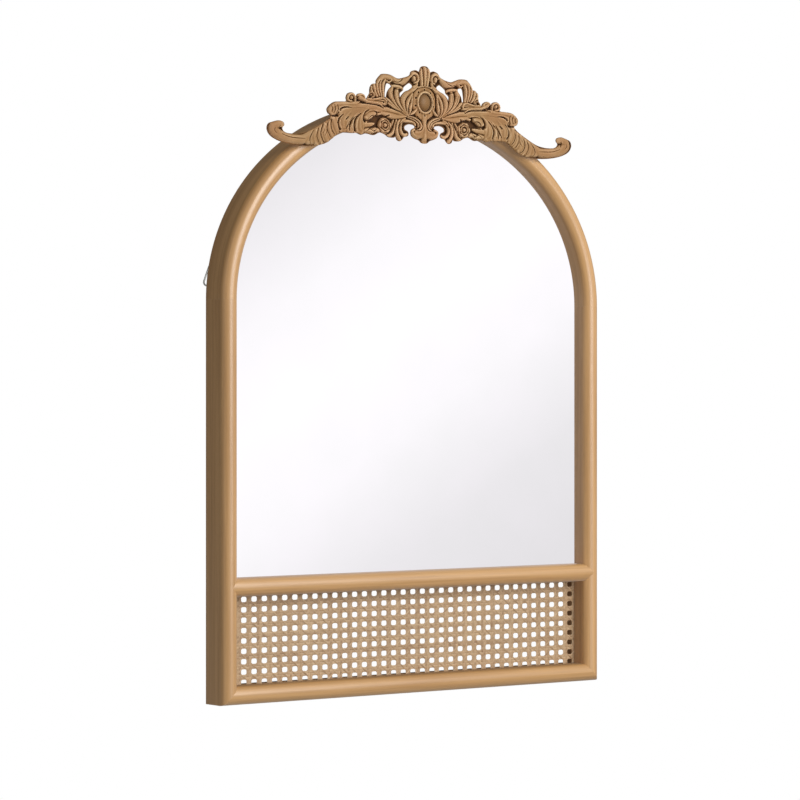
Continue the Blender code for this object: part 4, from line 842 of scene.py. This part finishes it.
# Grooves hold (x, z, half width, depth)
GROOVES_MM = {
    "lobe_cut_1": ((30.4, 65.2, 0.6, 0.8), (33.6, 56.6, 0.9, 2), (32.2, 46.8, 0.9, 2),
        (29.2, 39.8, 0.6, 1)),
    "lobe_cut_2": ((23.8, 57.6, 0.7, 1.2), (27.8, 50, 1, 2.4), (26.4, 41, 0.7, 1.4)),
    "band_edge": ((12, 76.6, 0.8, 1.6), (17.6, 72, 0.9, 2), (20.4, 66, 0.9, 2.2), (20.6, 56, 0.9, 2.2),
        (21.6, 48, 0.8, 1.6)),
    "arm_cut": ((26, 36, 0.5, 1), (15, 32, 0.6, 1.6), (9.6, 27.8, 0.7, 1.8), (8.8, 22.8, 0.7, 1.8),
        (11.6, 19.8, 0.6, 1.2)),
    "pendant_hollow": ((13.6, 25, 1.4, 2.6), (12.6, 22.4, 1.6, 3.6), (14.8, 20.8, 1.2, 2.6)),
    "pendant_fold": ((11.6, 37.6, 0.8, 1.6), (6, 32.6, 0.9, 2.4), (3.8, 27, 0.9, 2.6),
        (4.4, 21.6, 0.9, 2.6), (8, 18, 0.8, 2.2), (15, 17.2, 0.7, 1.4)),
    "shell_cut_1": ((2.2, 82, 0.6, 1.4), (2.7, 92, 0.7, 2.4), (3.3, 105, 0.7, 2)),
    "shell_cut_2": ((7.6, 82, 0.7, 1.8), (9, 91, 0.8, 2.6), (9.6, 99.6, 0.7, 2)),
    "shell_roll_cut": ((22.4, 93.2, 0.7, 1.6), (18.4, 94.8, 0.8, 2.2), (15, 92.4, 0.9, 2.6),
        (14.8, 88.2, 0.8, 2.2), (17, 86, 0.6, 1.2)),
    "arch_cut_1": ((72.6, 85, 0.6, 1), (75.8, 79.4, 0.9, 2.8), (75.4, 70, 0.9, 2.8),
        (73.8, 63.4, 0.7, 1.6)),
    "arch_cut_2": ((78.4, 84.4, 0.6, 1.2), (81, 79, 0.9, 3), (80.2, 70.4, 0.8, 2.6),
        (77.2, 63.4, 0.6, 1.4)),
    "arch_hollow": ((86, 80, 0.7, 1.6), (85.6, 74.4, 0.9, 2.8), (84.4, 68.6, 0.9, 2.8),
        (80.8, 62.6, 0.7, 1.6)),
    "arch_lobe_cut": ((91, 78, 0.6, 0.8), (91, 73.4, 0.8, 2.2), (89.4, 69, 0.8, 2.4)),
    "link_twist": ((37, 90, 0.6, 1), (41.4, 85.8, 0.8, 2), (47.6, 83.2, 0.8, 2), (53.6, 84.2, 0.7, 1.4)),
    "link_under": ((41, 80.2, 0.8, 1.4), (48, 80.6, 0.9, 2), (56, 80.8, 0.9, 1.8)),
    "hook_under": ((40.6, 72.8, 0.7, 1.6), (47, 73.2, 0.7, 1.8), (53, 74.4, 0.6, 1.2)),
    "inner_blade_vein": ((42, 50, 0.5, 0.6), (47, 59, 0.6, 1.2), (48.4, 69, 0.6, 1.2)),
    "outer_blade_vein": ((48, 50, 0.5, 0.6), (55.6, 59, 0.7, 1.4), (58.8, 69, 0.7, 1.4)),
    "blade_gap": ((39, 44, 0.6, 1.4), (44.4, 48.6, 0.8, 2.2), (50.2, 55.4, 0.9, 2.8), (52.8, 63, 0.9, 2.8),
        (53, 72, 0.8, 2)),
    "acanthus_line_1": ((33, 38, 0.6, 1.2), (44, 42.6, 0.8, 2.2), (54, 45.6, 1, 2.6), (60, 47.4, 1.2, 3.4)),
    "sprig_hollow": ((57, 47.4, 1.2, 3.4), (61.6, 49.6, 1.6, 4.6), (65.4, 52.6, 1.5, 4.6), (64, 56, 1, 3)),
    "acanthus_line_2": ((73, 46.4, 0.8, 1.6), (82, 49.8, 0.9, 2.4), (96, 50.8, 0.9, 2.4),
        (110, 51.6, 1, 2.6), (117, 55.4, 1.2, 3)),
    "acanthus_line_3": ((82, 46.8, 0.5, 0.2), (96, 47.8, 0.5, 0.4), (108, 48.4, 0.5, 0.2)),
    "acanthus_line_4": ((96, 43.6, 0.5, 0.2), (112, 44.4, 0.5, 0.5), (126, 43.2, 0.6, 0.5)),
    "acanthus_line_5": ((46, 38.8, 0.5, 0.8), (60, 41, 0.6, 1), (74, 42.2, 0.5, 0.8)),
    "shoulder_crease": ((127, 43.6, 0.6, 0.8), (135, 44.2, 1.2, 2.8), (141, 43.4, 1.5, 4.2),
        (146.6, 41, 1.3, 4.2)),
    "shoulder_fold_1": ((152, 46.8, 0.7, 1.2), (150.4, 41, 1, 2.2), (153, 34, 0.9, 2)),
    "shoulder_fold_2": ((157.6, 46.6, 0.7, 1), (155.6, 41, 0.9, 2), (157.4, 35.2, 0.8, 1.8)),
    "shoulder_fold_3": ((162.6, 44.4, 0.7, 1), (160.4, 40.4, 0.8, 1.6), (161.2, 36.6, 0.7, 1.4)),
    "shoulder_under": ((150, 33.6, 0.9, 2), (156, 31, 1.2, 3), (162, 31.4, 1.2, 3)),
    "rosette_crease": ((63, 36.6, 1.2, 3), (66.6, 33.8, 2, 5), (62, 29.4, 1.4, 3.4)),
    "rosette_side": ((79, 33.4, 1.6, 4), (82, 27.4, 2.2, 6), (83, 21.6, 2, 5)),
    "foot_cut_1": ((38.4, 29.4, 0.9, 1.6), (43.6, 24, 1.3, 3.4), (45.2, 16.4, 1.4, 3.8),
        (42.8, 9.6, 1.2, 3.2), (39.2, 7.2, 0.8, 1.6)),
    "foot_cut_2": ((51, 29.4, 1.2, 2.6), (54.6, 22, 1.5, 4.2), (58.6, 14.6, 1.4, 4.2), (64, 10.8, 1, 2.6)),
    "foot_cut_3": ((49.4, 25, 0.5, 1), (51.6, 17, 0.6, 1.4), (51.4, 9.4, 0.7, 1.8)),
    "knob_hollow": ((84, 39.8, 1.8, 4.4), (84.6, 33.6, 2.4, 6.6), (86.6, 28, 2.2, 6), (92, 26.4, 1.6, 3.4),
        (99, 25.4, 1.4, 2.4)),
    "knob_crease": ((88.6, 34.4, 0.6, 1.2), (93.2, 34.6, 0.9, 2.6), (97.6, 31.6, 0.8, 2),
        (100.4, 27.8, 0.6, 1.2)),
    "under_stem": ((73.6, 55, 0.8, 2.2), (80, 55.6, 0.7, 1.8), (88, 55.8, 0.6, 1.2)),
    "curled_crease": ((98, 42, 0.9, 2), (103.6, 38.2, 1.4, 4.4), (106.8, 33, 1.6, 5.2),
        (106.6, 28, 2.4, 6.4)),
    "small_leaf_cut": ((84, 17, 0.7, 1.6), (89.6, 13.4, 0.9, 2.4), (95, 16.6, 1, 2.8),
        (100.8, 13.4, 0.7, 1.6)),
    "finger_4_line": ((141, 33, 0.5, 0.6), (145.6, 26, 0.6, 1), (146.4, 18, 0.5, 0.8)),
    "finger_cut_1": ((112.6, 36.4, 0.9, 1.8), (118.2, 31.2, 1.5, 4.6), (121.6, 25.6, 2.1, 6),
        (122.6, 19.6, 2.2, 6.2), (121.2, 14, 1.9, 5), (119.6, 11, 1, 2)),
    "finger_cut_2": ((120.6, 32.4, 0.8, 1.8), (126.2, 27.2, 1.3, 3.8), (129.6, 21.4, 1.6, 4.6),
        (131, 16.2, 1.4, 4), (130.8, 12.4, 0.9, 2.2)),
    "finger_cut_3": ((125.4, 31.4, 0.7, 1.4), (130.4, 25, 1.2, 3.2), (133.8, 19.4, 1.3, 3.4),
        (136.6, 14.6, 0.8, 1.8)),
    "finger_slot": ((133.2, 30.8, 0.9, 3), (137, 27.4, 1.1, 3.6)),
    "finger_cut_4": ((142, 34, 0.8, 1.6), (147, 29.2, 1.3, 3.4), (149.8, 23.4, 1.6, 4.2),
        (149.2, 17.6, 1.7, 4.4), (146.6, 13.4, 1.7, 4.4)),
    "stem_cut_1": ((160.8, 26, 0.7, 1.4), (162.2, 18.6, 0.8, 2), (160, 11, 0.8, 2), (155.6, 5.6, 0.7, 1.4)),
    "stem_cut_2": ((166, 24, 0.7, 1.4), (168.8, 15.8, 0.8, 1.8), (167.4, 8.6, 0.8, 1.8),
        (162.6, 1.6, 0.7, 1.4)),
    "stem_cut_3": ((175, 18, 0.7, 1.4), (178.6, 11, 0.9, 2.2), (179.2, 4, 0.9, 2.2), (176.2, -2.6, 0.9, 2),
        (171.8, -6.2, 0.8, 1.8)),
    "stem_cut_4": ((182.4, 13.4, 0.6, 1.2), (185.2, 7, 0.8, 1.6), (185.8, 0.6, 0.8, 1.6),
        (182.6, -6, 0.7, 1.4)),
    "stem_cut_5": ((191, 9.6, 0.7, 1.2), (195.6, 3, 0.9, 2), (198, -3.4, 0.8, 1.6), (196, -9.4, 0.6, 1.2)),
    "stem_vein": ((206, -2.2, 0.6, 0.8), (218, -2, 0.9, 1.4), (232, -1, 0.9, 1.4), (244, 2.6, 0.6, 1)),
    "curl_cut": ((246, 6, 0.7, 1.2), (248, 10.6, 0.9, 1.8), (246.4, 13.6, 0.7, 1.2)),
    "curl_ripple": ((253, 2.8, 0.6, 0.8), (256.6, 6.8, 0.7, 1.2), (255.6, 10.6, 0.6, 0.8)),
    "leaf_3_arc_1": ((168.8, 15, 0.5, 0.8), (169.8, 8.6, 0.7, 1.2), (173.6, 3.4, 0.6, 1)),
    "leaf_3_arc_2": ((172.6, 17, 0.5, 0.8), (174, 11, 0.7, 1.2), (176.6, 6.6, 0.5, 0.8)),
}
# Drilled holes hold (x, z, radius, depth)
DRILLS_MM = (
    (0, 75.4, 1.5, 3.6), (0, 79.4, 1.2, 2.4), (10.6, 71.2, 1.5, 3.6), (15, 63.5, 1.6, 3.8),
    (15.4, 52.5, 1.6, 3.8), (9, 43.4, 1.5, 3.6), (0, 39.2, 1.6, 3.6), (24.6, 88.8, 2.4, 7),
    (59, 47.6, 1.2, 3.6), (64.6, 49.6, 1.3, 3.8), (71.6, 54.4, 1.6, 4.4), (62.6, 84.8, 1, 2.6),
    (58.8, 47.8, 1.4, 4.4), (72, 46.4, 1.2, 3), (116.8, 58.6, 2.2, 5.6), (146.6, 39.8, 1.8, 5),
    (149.4, 36, 1.3, 3.6), (51, 9.8, 1.1, 3), (88, 14, 1.3, 3.4), (95.4, 16.8, 1.4, 3.6),
    (102, 12.4, 0.9, 2), (92, 10.6, 0.9, 2), (104.4, 27, 3.2, 6), (90.2, 58.8, 1.2, 3), (215, -9, 0.8, 1.2),
    (45, 72.4, 1.2, 3),
)


def smooth_route(points, steps=6, closed=False):
    """A smooth line through points, which can hold widths and heights too."""
    points = np.asarray(points, float)
    if closed:
        points = np.vstack([points[-1], points, points[:2]])
    else:
        points = np.vstack([2 * points[0] - points[1], points, 2 * points[-1] - points[-2]])
    route = []
    for a, b, c, d in zip(points, points[1:], points[2:], points[3:]):
        for share in np.arange(steps) / steps:
            bend = (c - a) * share + (2 * a - 5 * b + 4 * c - d) * share**2
            bend += (3 * b - a - 3 * c + d) * share**3
            route.append(b + bend / 2)
    if not closed:
        route.append(points[-2])
    return np.array(route)


def dome(share, flatness=2):
    """One in the middle, and nothing from a share of one outward."""
    return np.clip(1 - share**flatness, 0.0, None)


def nearest_on(start, end, x, z):
    """How far places are from a straight run, and where along it they are nearest, as a share."""
    run = end - start
    share = ((x - start[0]) * run[0] + (z - start[1]) * run[1]) / max(run @ run, 1e-9)
    share = np.clip(share, 0.0, 1.0)
    return np.hypot(x - start[0] - share * run[0], z - start[1] - share * run[1]), share


class Relief:
    """Heights of a carving over a board, on a grid in millimetres."""

    def __init__(self):
        self.x = np.arange(0.0, DRAWN_HALF_WIDTH + RELIEF_MARGIN, RELIEF_STEP)
        self.z = np.arange(RELIEF_LOW, DRAWN_HEIGHT + RELIEF_MARGIN, RELIEF_STEP)
        self.height = np.full((len(self.z), len(self.x)), GROUND)

    def area(self, route, reach):
        """The part of the grid round a route, and its places."""
        low = route[:, :2].min(axis=0) - reach
        high = route[:, :2].max(axis=0) + reach
        columns = slice(*np.searchsorted(self.x, (low[0], high[0])))
        rows = slice(*np.searchsorted(self.z, (low[1], high[1])))
        return (rows, columns), *np.meshgrid(self.x[columns], self.z[rows])

    def along(self, points):
        """Near a stroke: how far across it places lie, as a share of its half width, and its height."""
        route = smooth_route(points)
        area, x, z = self.area(route, route[:, 2].max() + RELIEF_STEP)
        across = np.full(x.shape, np.inf)
        height = np.zeros(x.shape)
        for start, end in zip(route, route[1:]):
            gap, share = nearest_on(start[:2], end[:2], x, z)
            wide = start[2] + share * (end[2] - start[2])
            nearer = gap / wide < across
            across = np.where(nearer, gap / wide, across)
            height = np.where(nearer, start[3] + share * (end[3] - start[3]), height)
        return area, across, height

    def carve_up(self, points, flatness):
        area, across, height = self.along(points)
        self.height[area] = np.maximum(self.height[area], height * np.sqrt(dome(across, flatness)))

    def carve_down(self, points):
        area, across, depth = self.along(points)
        self.height[area] -= depth * dome(across)

    def drill(self, x, z, radius, depth):
        area, places_x, places_z = self.area(np.array([[x, z]]), radius + RELIEF_STEP)
        self.height[area] -= depth * dome(np.hypot(places_x - x, places_z - z) / radius)

    def oval_share(self, margin_x, margin_z):
        """How far places are from the cabochon's middle, as a share of an oval larger by margins."""
        x, z = np.meshgrid(self.x, self.z)
        share_x = (x - CABOCHON_CENTRE[0]) / (CABOCHON_HALF[0] + margin_x)
        share_z = (z - CABOCHON_CENTRE[1]) / (CABOCHON_HALF[1] + margin_z)
        return np.hypot(share_x, share_z)


def carve_rosette(relief):
    """A ball in a whorl, in a ring of petals."""
    ball, inner, outer, edge = ROSETTE_RADII
    x, z = np.meshgrid(relief.x, relief.z)
    reach = np.hypot(x - ROSETTE[0], z - ROSETTE[1])
    turn = np.arctan2(z - ROSETTE[1], x - ROSETTE[0])
    rim = edge + PETAL_SWING * np.cos(PETALS * turn)
    petals = PETAL_HEIGHT * np.sqrt(dome((reach - outer) / (rim - outer)))
    cuts = np.abs(np.sin(PETALS / 2 * turn + PETAL_TWIST * reach)) ** PETAL_CUT_SHARPNESS
    petals -= PETAL_CUT * cuts * (reach > inner + PETAL_CUT_START)
    whorl = WHORL_HEIGHT * np.sqrt(dome((reach - inner - WHORL_SWING * np.sin(2 * turn)) / WHORL_HALF_WIDTH))
    middle = BALL_HEIGHT * np.sqrt(dome(reach / ball))
    flower = np.maximum.reduce([petals, whorl, middle, np.where(reach < edge, PETAL_GROUND, 0.0)])
    relief.height = np.where(reach < edge + RELIEF_STEP, np.maximum(flower, 0.0), relief.height)


def carve_cabochon_setting(relief):
    """The plate, the bead on it and the seat within."""
    plate = relief.oval_share(*PLATE_MARGINS)
    fall = PLATE_FALL * np.clip((plate - PLATE_FLAT_SHARE) / PLATE_FALL_SHARE, 0, 1)
    relief.height = np.where(plate < 1, PLATE_HEIGHT - fall, relief.height)
    bead = dome((relief.oval_share(BEAD_MARGIN, BEAD_MARGIN) - 1) * BEAD_REACH / BEAD_HALF_WIDTH)
    relief.height = np.maximum(relief.height, BEAD_FOOT * (bead > 0) + BEAD_RISE * np.sqrt(bead))
    seat = relief.oval_share(SEAT_MARGIN, SEAT_MARGIN)
    relief.height = np.where(seat < 1, np.minimum(relief.height, CABOCHON_SEAT), relief.height)


def outline_distance(relief):
    """How far each place is inside the outline, and less than nothing outside it."""
    half = smooth_route(CREST_OUTLINE_MM, OUTLINE_STEPS)
    loops = [np.vstack([half, half[::-1] * (-1, 1)])]
    loops += [smooth_route(hole, OUTLINE_STEPS, closed=True) for hole in WINDOW_OUTLINES_MM]
    nearest = np.full(relief.height.shape, OUTLINE_REACH)
    inside = np.zeros(relief.height.shape, bool)
    for loop in loops:
        for start, end in zip(loop, np.roll(loop, -1, axis=0)):
            area, near_x, near_z = relief.area(np.array([start, end]), OUTLINE_REACH)
            nearest[area] = np.minimum(nearest[area], nearest_on(start, end, near_x, near_z)[0])
            low, high = sorted((start[1], end[1]))
            rows = (relief.z >= low) & (relief.z < high)
            if rows.any() and high > low:
                cross = start[0] + (relief.z[rows] - start[1]) / (end[1] - start[1]) * (end[0] - start[0])
                inside[rows] ^= relief.x[None, :] < cross[:, None]
    return np.where(inside, nearest, -nearest)


def arch_offset(x, z):
    """How far places in metres lie outside the centre line of the arch's moulding."""
    angle = np.arctan2((z - SPRING) / AXIS_RISE, x / AXIS_REACH)
    for _ in range(ARCH_PASSES):
        on_x, on_z = AXIS_REACH * np.cos(angle), AXIS_RISE * np.sin(angle)
        run_x, run_z = -AXIS_REACH * np.sin(angle), AXIS_RISE * np.cos(angle)
        miss = (x - on_x) * run_x + (z - on_z) * run_z
        bend = run_x**2 + run_z**2 + (x - on_x) * on_x + (z - on_z) * on_z
        angle += miss / bend
    return np.hypot(x - AXIS_REACH * np.cos(angle), z - SPRING - AXIS_RISE * np.sin(angle))


def blurred(values, weights, passes):
    """Values smoothed inside the outline only."""
    total = values * weights
    for _ in range(passes):
        total = sum(np.roll(total, shift, axis) for axis in (0, 1) for shift in (-1, 0, 1)) / 6
        weights = sum(np.roll(weights, shift, axis) for axis in (0, 1) for shift in (-1, 0, 1)) / 6
    return total / np.maximum(weights, 1e-6)


def worn_share(height, weights, inside):
    """How light each place is painted: darker with stain wash and painted shade in hollows, fine and broad,
    and in low ground, and lighter on ridges.
    """
    uncut = blurred(height, weights, 1)
    fine = uncut - blurred(uncut, weights, FINE_PASSES)
    broad = uncut - blurred(uncut, weights, BROAD_PASSES)
    low = np.clip(uncut - LOW_HEIGHT, None, 0.0)
    worn = np.clip(SHADE_MIDDLE + FINE_STAIN_AND_SHADE * fine + BROAD_PAINTED_SHADE * broad + LOW_GROUND_PAINTED_SHADE * low, 0.0, 1.0)
    # Near the outline the painted shade is held back to a limit
    edge_share = 1.0 - np.clip(inside / EDGE_SHADE_LIMIT_REACH, 0.0, 1.0)
    return worn + edge_share * np.clip(EDGE_SHADE_LIMIT - worn, 0.0, None)


def carve_crest():
    """The carving's relief, its distance inside the outline, and its stain wash and painted shade."""
    relief = Relief()
    for name, points in STROKES_MM.items():
        relief.carve_up(points, FLAT_STROKES.get(name, 2))
    carve_rosette(relief)
    for points in GROOVES_MM.values():
        relief.carve_down(points)
    for hole in DRILLS_MM:
        relief.drill(*hole)
    carve_cabochon_setting(relief)
    inside = outline_distance(relief)
    weights = (inside > -RELIEF_STEP).astype(float)
    # Stain wash and painted shade in the hollows and low ground
    worn = worn_share(relief.height, weights, inside)
    round_over = np.sin(np.pi / 2 * np.clip(inside / EDGE_ROUND, 0.0, 1.0))
    shelf = EDGE_LEAST - EDGE_FALL * np.clip(inside - EDGE_SHELF, 0.0, None)
    relief.height = np.clip(relief.height, np.maximum(shelf, DEEPEST), EDGE_RISE * round_over + EDGE_LIFT)
    relief.height = np.where(weights > 0, blurred(relief.height, weights, 1), relief.height)
    return relief, inside, worn


def mirrored(grid, sign=1):
    """A half's grid with its mirror image to the left, taken with a sign."""
    return np.concatenate([sign * grid[..., :0:-1], grid], axis=-1)


def pick_cells(inside):
    """The grid cells that lie inside the outline, and how many of them meet at each place."""
    kept = inside > -RIM_CUT_SHARE * RELIEF_STEP
    cells = kept[:-1, :-1] & kept[1:, :-1] & kept[:-1, 1:] & kept[1:, 1:]
    meeting = np.zeros(kept.shape, int)
    for rows in (slice(0, -1), slice(1, None)):
        for columns in (slice(0, -1), slice(1, None)):
            meeting[rows, columns] += cells
    return cells, meeting


def rim_on_outline(x, z, inside, rim):
    """Moves the rim's places onto the outline, down the slope of their distance from it."""
    slope_z, slope_x = np.gradient(inside, RELIEF_STEP)
    steep = np.maximum(slope_x**2 + slope_z**2, LEAST_STEEPNESS)
    return np.where(rim, x - inside * slope_x / steep, x), np.where(rim, z - inside * slope_z / steep, z)


def board_points(x, z, height, inside):
    """The carved front and, behind each of its points, the bevelled back, coped over the arch."""
    across = x / DRAWN_HALF_WIDTH * CREST_HALF_WIDTH
    up = CREST_LOW.z + z / DRAWN_HEIGHT * (CREST_HIGH.z - CREST_LOW.z)
    front = CREST_HIGH.y - CREST_BOARD - height / 1000
    offset = np.minimum(arch_offset(across, up), NOSE)
    nose = FRONT + NOSE - np.sqrt(NOSE**2 - offset**2) - FIT
    bevel = (EDGE_WALL + BACK_BEVEL * np.clip(inside, 0.0, None)) / 1000
    back = np.minimum(np.minimum(CREST_HIGH.y, nose), CREST_HIGH.y - CREST_BOARD + bevel)
    back = np.maximum(back, front + CREST_LEAST_BODY)
    return np.concatenate([np.stack([across, front, up], 1), np.stack([across, back, up], 1)])


def board_faces(cells, used):
    """The faces of the front and the back, and the walls between them at every open edge."""
    count = used.sum()
    number = np.full(used.shape, -1)
    number[used] = np.arange(count)
    a, b = number[:-1, :-1][cells], number[:-1, 1:][cells]
    c, d = number[1:, 1:][cells], number[1:, :-1][cells]
    faces = np.concatenate([np.stack([a, b, c, d], 1), np.stack([d, c, b, a], 1) + count])
    edges = np.concatenate([np.stack(pair, 1) for pair in ((a, b), (b, c), (c, d), (d, a))])
    keys = {tuple(edge) for edge in edges.tolist()}
    return faces.tolist() + [(q, p, p + count, q + count) for p, q in keys if (q, p) not in keys]


def make_crest():
    """One carved board with its windows."""
    relief, inside, worn = carve_crest()
    height, inside, worn = (mirrored(grid) for grid in (relief.height, inside, worn))
    cells, meeting = pick_cells(inside)
    used = meeting > 0
    x, z = np.meshgrid(mirrored(relief.x, -1), relief.z)
    x, z = rim_on_outline(x, z, inside, used & (meeting < 4))
    points = board_points(x[used], z[used], height[used], inside[used])
    faces = board_faces(cells, used)
    # The front takes the stain wash and painted shade; the back takes one plain tone
    stain_shade_level = np.concatenate([worn[used], np.full(used.sum(), BACK_TONE)])
    grain = points[:, [0, 2, 1]]
    crest = new_mesh("crest_carving", points, faces, CREST_WOOD, smooth_angle=55.0, worn=stain_shade_level, grain=grain)
    install(crest, "crest_wood", "crest_centre", "crest_left_wing", "crest_right_wing")


def make_cabochon():
    """A smooth oval boss on its seat, lightest on its crown, with painted shade darker toward its rim."""
    low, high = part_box("crest_cabochon")
    seat = CREST_HIGH.y - CREST_BOARD - CABOCHON_SEAT / 1000
    centre_z = (low.z + high.z) / 2
    points = [(0.0, low.y, centre_z)]
    stain_shade_level = [CROWN_LIGHTNESS]
    for ring in range(1, CABOCHON_RINGS + 1):
        turn = math.pi / 2 * ring / CABOCHON_RINGS
        wide, tall = (half / 1000 * math.sin(turn) for half in CABOCHON_HALF)
        rise_share = math.cos(turn) ** CABOCHON_ROUNDNESS if ring < CABOCHON_RINGS else 0.0
        for step in range(CABOCHON_STEPS):
            angle = 2 * math.pi * step / CABOCHON_STEPS
            across, up = wide * math.cos(angle), tall * math.sin(angle)
            points.append((across, seat + (low.y - seat) * rise_share, centre_z + up))
            # Painted shade, darker ring by ring toward the rim
            stain_shade_level.append(CROWN_LIGHTNESS - RIM_PAINTED_SHADE * (ring / CABOCHON_RINGS) ** 2)
    crown = [(0, 1 + (step + 1) % CABOCHON_STEPS, 1 + step) for step in range(CABOCHON_STEPS)]
    *sides, _, foot = tube_faces(CABOCHON_STEPS, CABOCHON_RINGS, start=1)
    grain = [(x, z, y) for x, y, z in points]
    faces = [*crown, *sides, foot]
    cabochon = new_mesh(
        "fine_cabochon", points, faces, CABOCHON_WOOD, smooth_angle=60.0, grain=grain, worn=stain_shade_level
    )
    face_outward(cabochon)
    install(cabochon, "crest_wood", "crest_cabochon")


def dress_nodes():
    """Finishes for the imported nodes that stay. The sides of the frame still show the mirror's reflection."""
    materials = {
        "plain_wood": PLAIN_WOOD,
        "zinc_steel": STEEL,
        "fibreboard": BOARD,
        "felt": FELT,
        "silvered_glass": MIRROR,
    }
    slots = {part["node"]: part["material_slot"] for part in frame["record"]["subparts"]}
    for name, obj in frame["nodes"].items():
        obj.visible_glossy = name == "mirror_glass"
        finish = materials.get(slots[name])
        if finish is None:
            continue
        obj.data.materials.clear()
        obj.data.materials.append(finish)
        obj.data.shade_smooth()
        obj.data.set_sharp_from_angle(angle=math.radians(35.0))


def reflected_rays(tree, path):
    """One for rays off or through something smooth, else nothing."""
    return calc(tree, "MAXIMUM", path.outputs["Is Glossy Ray"], path.outputs["Is Transmission Ray"])


def make_stage():
    """A floor well below the hanging mirror: white to the camera, pale to the light."""
    material, tree, node = shader("floor", Roughness=0.9, Base_Color=(0.52, 0.51, 0.49, 1.0))
    path = add(tree, "LightPath")
    seen = calc(tree, "MULTIPLY", reflected_rays(tree, path), FLOOR_REFLECTION)
    seen = calc(tree, "MAXIMUM", seen, path.outputs["Is Camera Ray"])
    glow = add(tree, "Emission", Color=WHITE, Strength=1.0)
    both = add(tree, "MixShader", i0=seen, i1=node.outputs[0], i2=glow.outputs[0])
    feed(tree, tree.nodes["Material Output"], Surface=both.outputs[0])
    corners = [(-1, -1), (1, -1), (1, 1), (-1, 1)]
    points = [(x * FLOOR_REACH, y * FLOOR_REACH, FOOT - FLOOR_DROP) for x, y in corners]
    floor = new_mesh("floor", points, [(0, 1, 2, 3)], material)


def make_world():
    """White to the camera. The mirror shows a room with a bright slanting band, dim behind the mirror, and
    the rest is lit by a soft fill from above.
    """
    world = bpy.data.worlds.new("studio")
    bpy.context.scene.world = world
    world.use_nodes = True
    tree = world.node_tree
    tree.nodes.clear()
    direction = add(tree, "TexCoord").outputs["Generated"]
    axes = add(tree, "SeparateXYZ", i0=direction).outputs
    across = add(tree, "VectorMath", {"operation": "DOT_PRODUCT"}, i0=direction, i1=BAND_NORMAL)
    across = calc(tree, "SUBTRACT", across.outputs["Value"], BAND_OFFSET)
    across = calc(tree, "DIVIDE", calc(tree, "ABSOLUTE", across), BAND_HALF_WIDTH)
    band = ramp(tree, across, [(0.0, 1.0), (0.22, 0.955), (0.47, 0.81), (0.68, 0.76), (1.0, 0.72)])
    behind = ramp(tree, calc(tree, "ADD", axes["Y"], 0.5), [(0.4, 1.0), (0.75, 0.1)])
    sky = ramp(tree, axes["Z"], [(0.1, (1.0, 0.98, 0.95, 1.0)), (0.9, (0.4, 0.39, 0.38, 1.0))])
    fill = add(tree, "Background", Color=sky, Strength=FILL_STRENGTH)
    seen = add(tree, "Background", Color=mix(tree, 1.0, band, behind, "MULTIPLY"), Strength=ROOM_STRENGTH)
    white = add(tree, "Background", Color=WHITE, Strength=1.0)
    path = add(tree, "LightPath")
    both = add(tree, "MixShader", i0=reflected_rays(tree, path), i1=fill.outputs[0], i2=seen.outputs[0])
    both = add(tree, "MixShader", i0=path.outputs["Is Camera Ray"], i1=both.outputs[0], i2=white.outputs[0])
    add(tree, "OutputWorld", Surface=both.outputs[0])


def make_lights():
    """One softbox, in front and a little to the right. It doesn't light the mirror, which shows the room."""
    turn = math.radians(KEY_AZIMUTH)
    rise = math.radians(KEY_ELEVATION)
    level = KEY_DISTANCE * math.cos(rise)
    height = KEY_TARGET_HEIGHT + KEY_DISTANCE * math.sin(rise)
    target = (0.0, FRONT, KEY_TARGET_HEIGHT)
    place = (level * math.sin(turn), FRONT - level * math.cos(turn), height)
    lamp = bpy.data.lights.new("key_softbox", "AREA")
    lamp.shape = "RECTANGLE"
    lamp.size, lamp.size_y = KEY_SIZE
    lamp.energy = KEY_WATTS
    key = new_object("key_softbox", lamp)
    key.location = place
    key.rotation_euler = (Vector(target) - Vector(place)).to_track_quat("-Z", "Y").to_euler()
    unlit = bpy.data.collections.new("unlit_by_key")
    unlit.objects.link(frame["nodes"]["mirror_glass"])
    key.light_linking.receiver_collection = unlit
    unlit.collection_objects[0].light_linking.link_state = "EXCLUDE"


def make_camera():
    camera = bpy.data.cameras.new("camera")
    camera.lens = CAMERA_LENS
    camera.sensor_width = 36.0
    camera.shift_y = CAMERA_SHIFT_Y
    camera.clip_end = 200.0
    obj = new_object("camera", camera)
    obj.location = CAMERA_PLACE
    obj.rotation_euler = (math.radians(90.0), 0.0, CAMERA_TURN)
    bpy.context.scene.camera = obj


make_camera()
make_world()
make_lights()
make_stage()
make_stiles()
make_arch()
make_rails()
make_cane()
make_battens()
make_crest()
make_cabochon()
dress_nodes()
bpy.context.scene.view_settings.view_transform = "Standard"
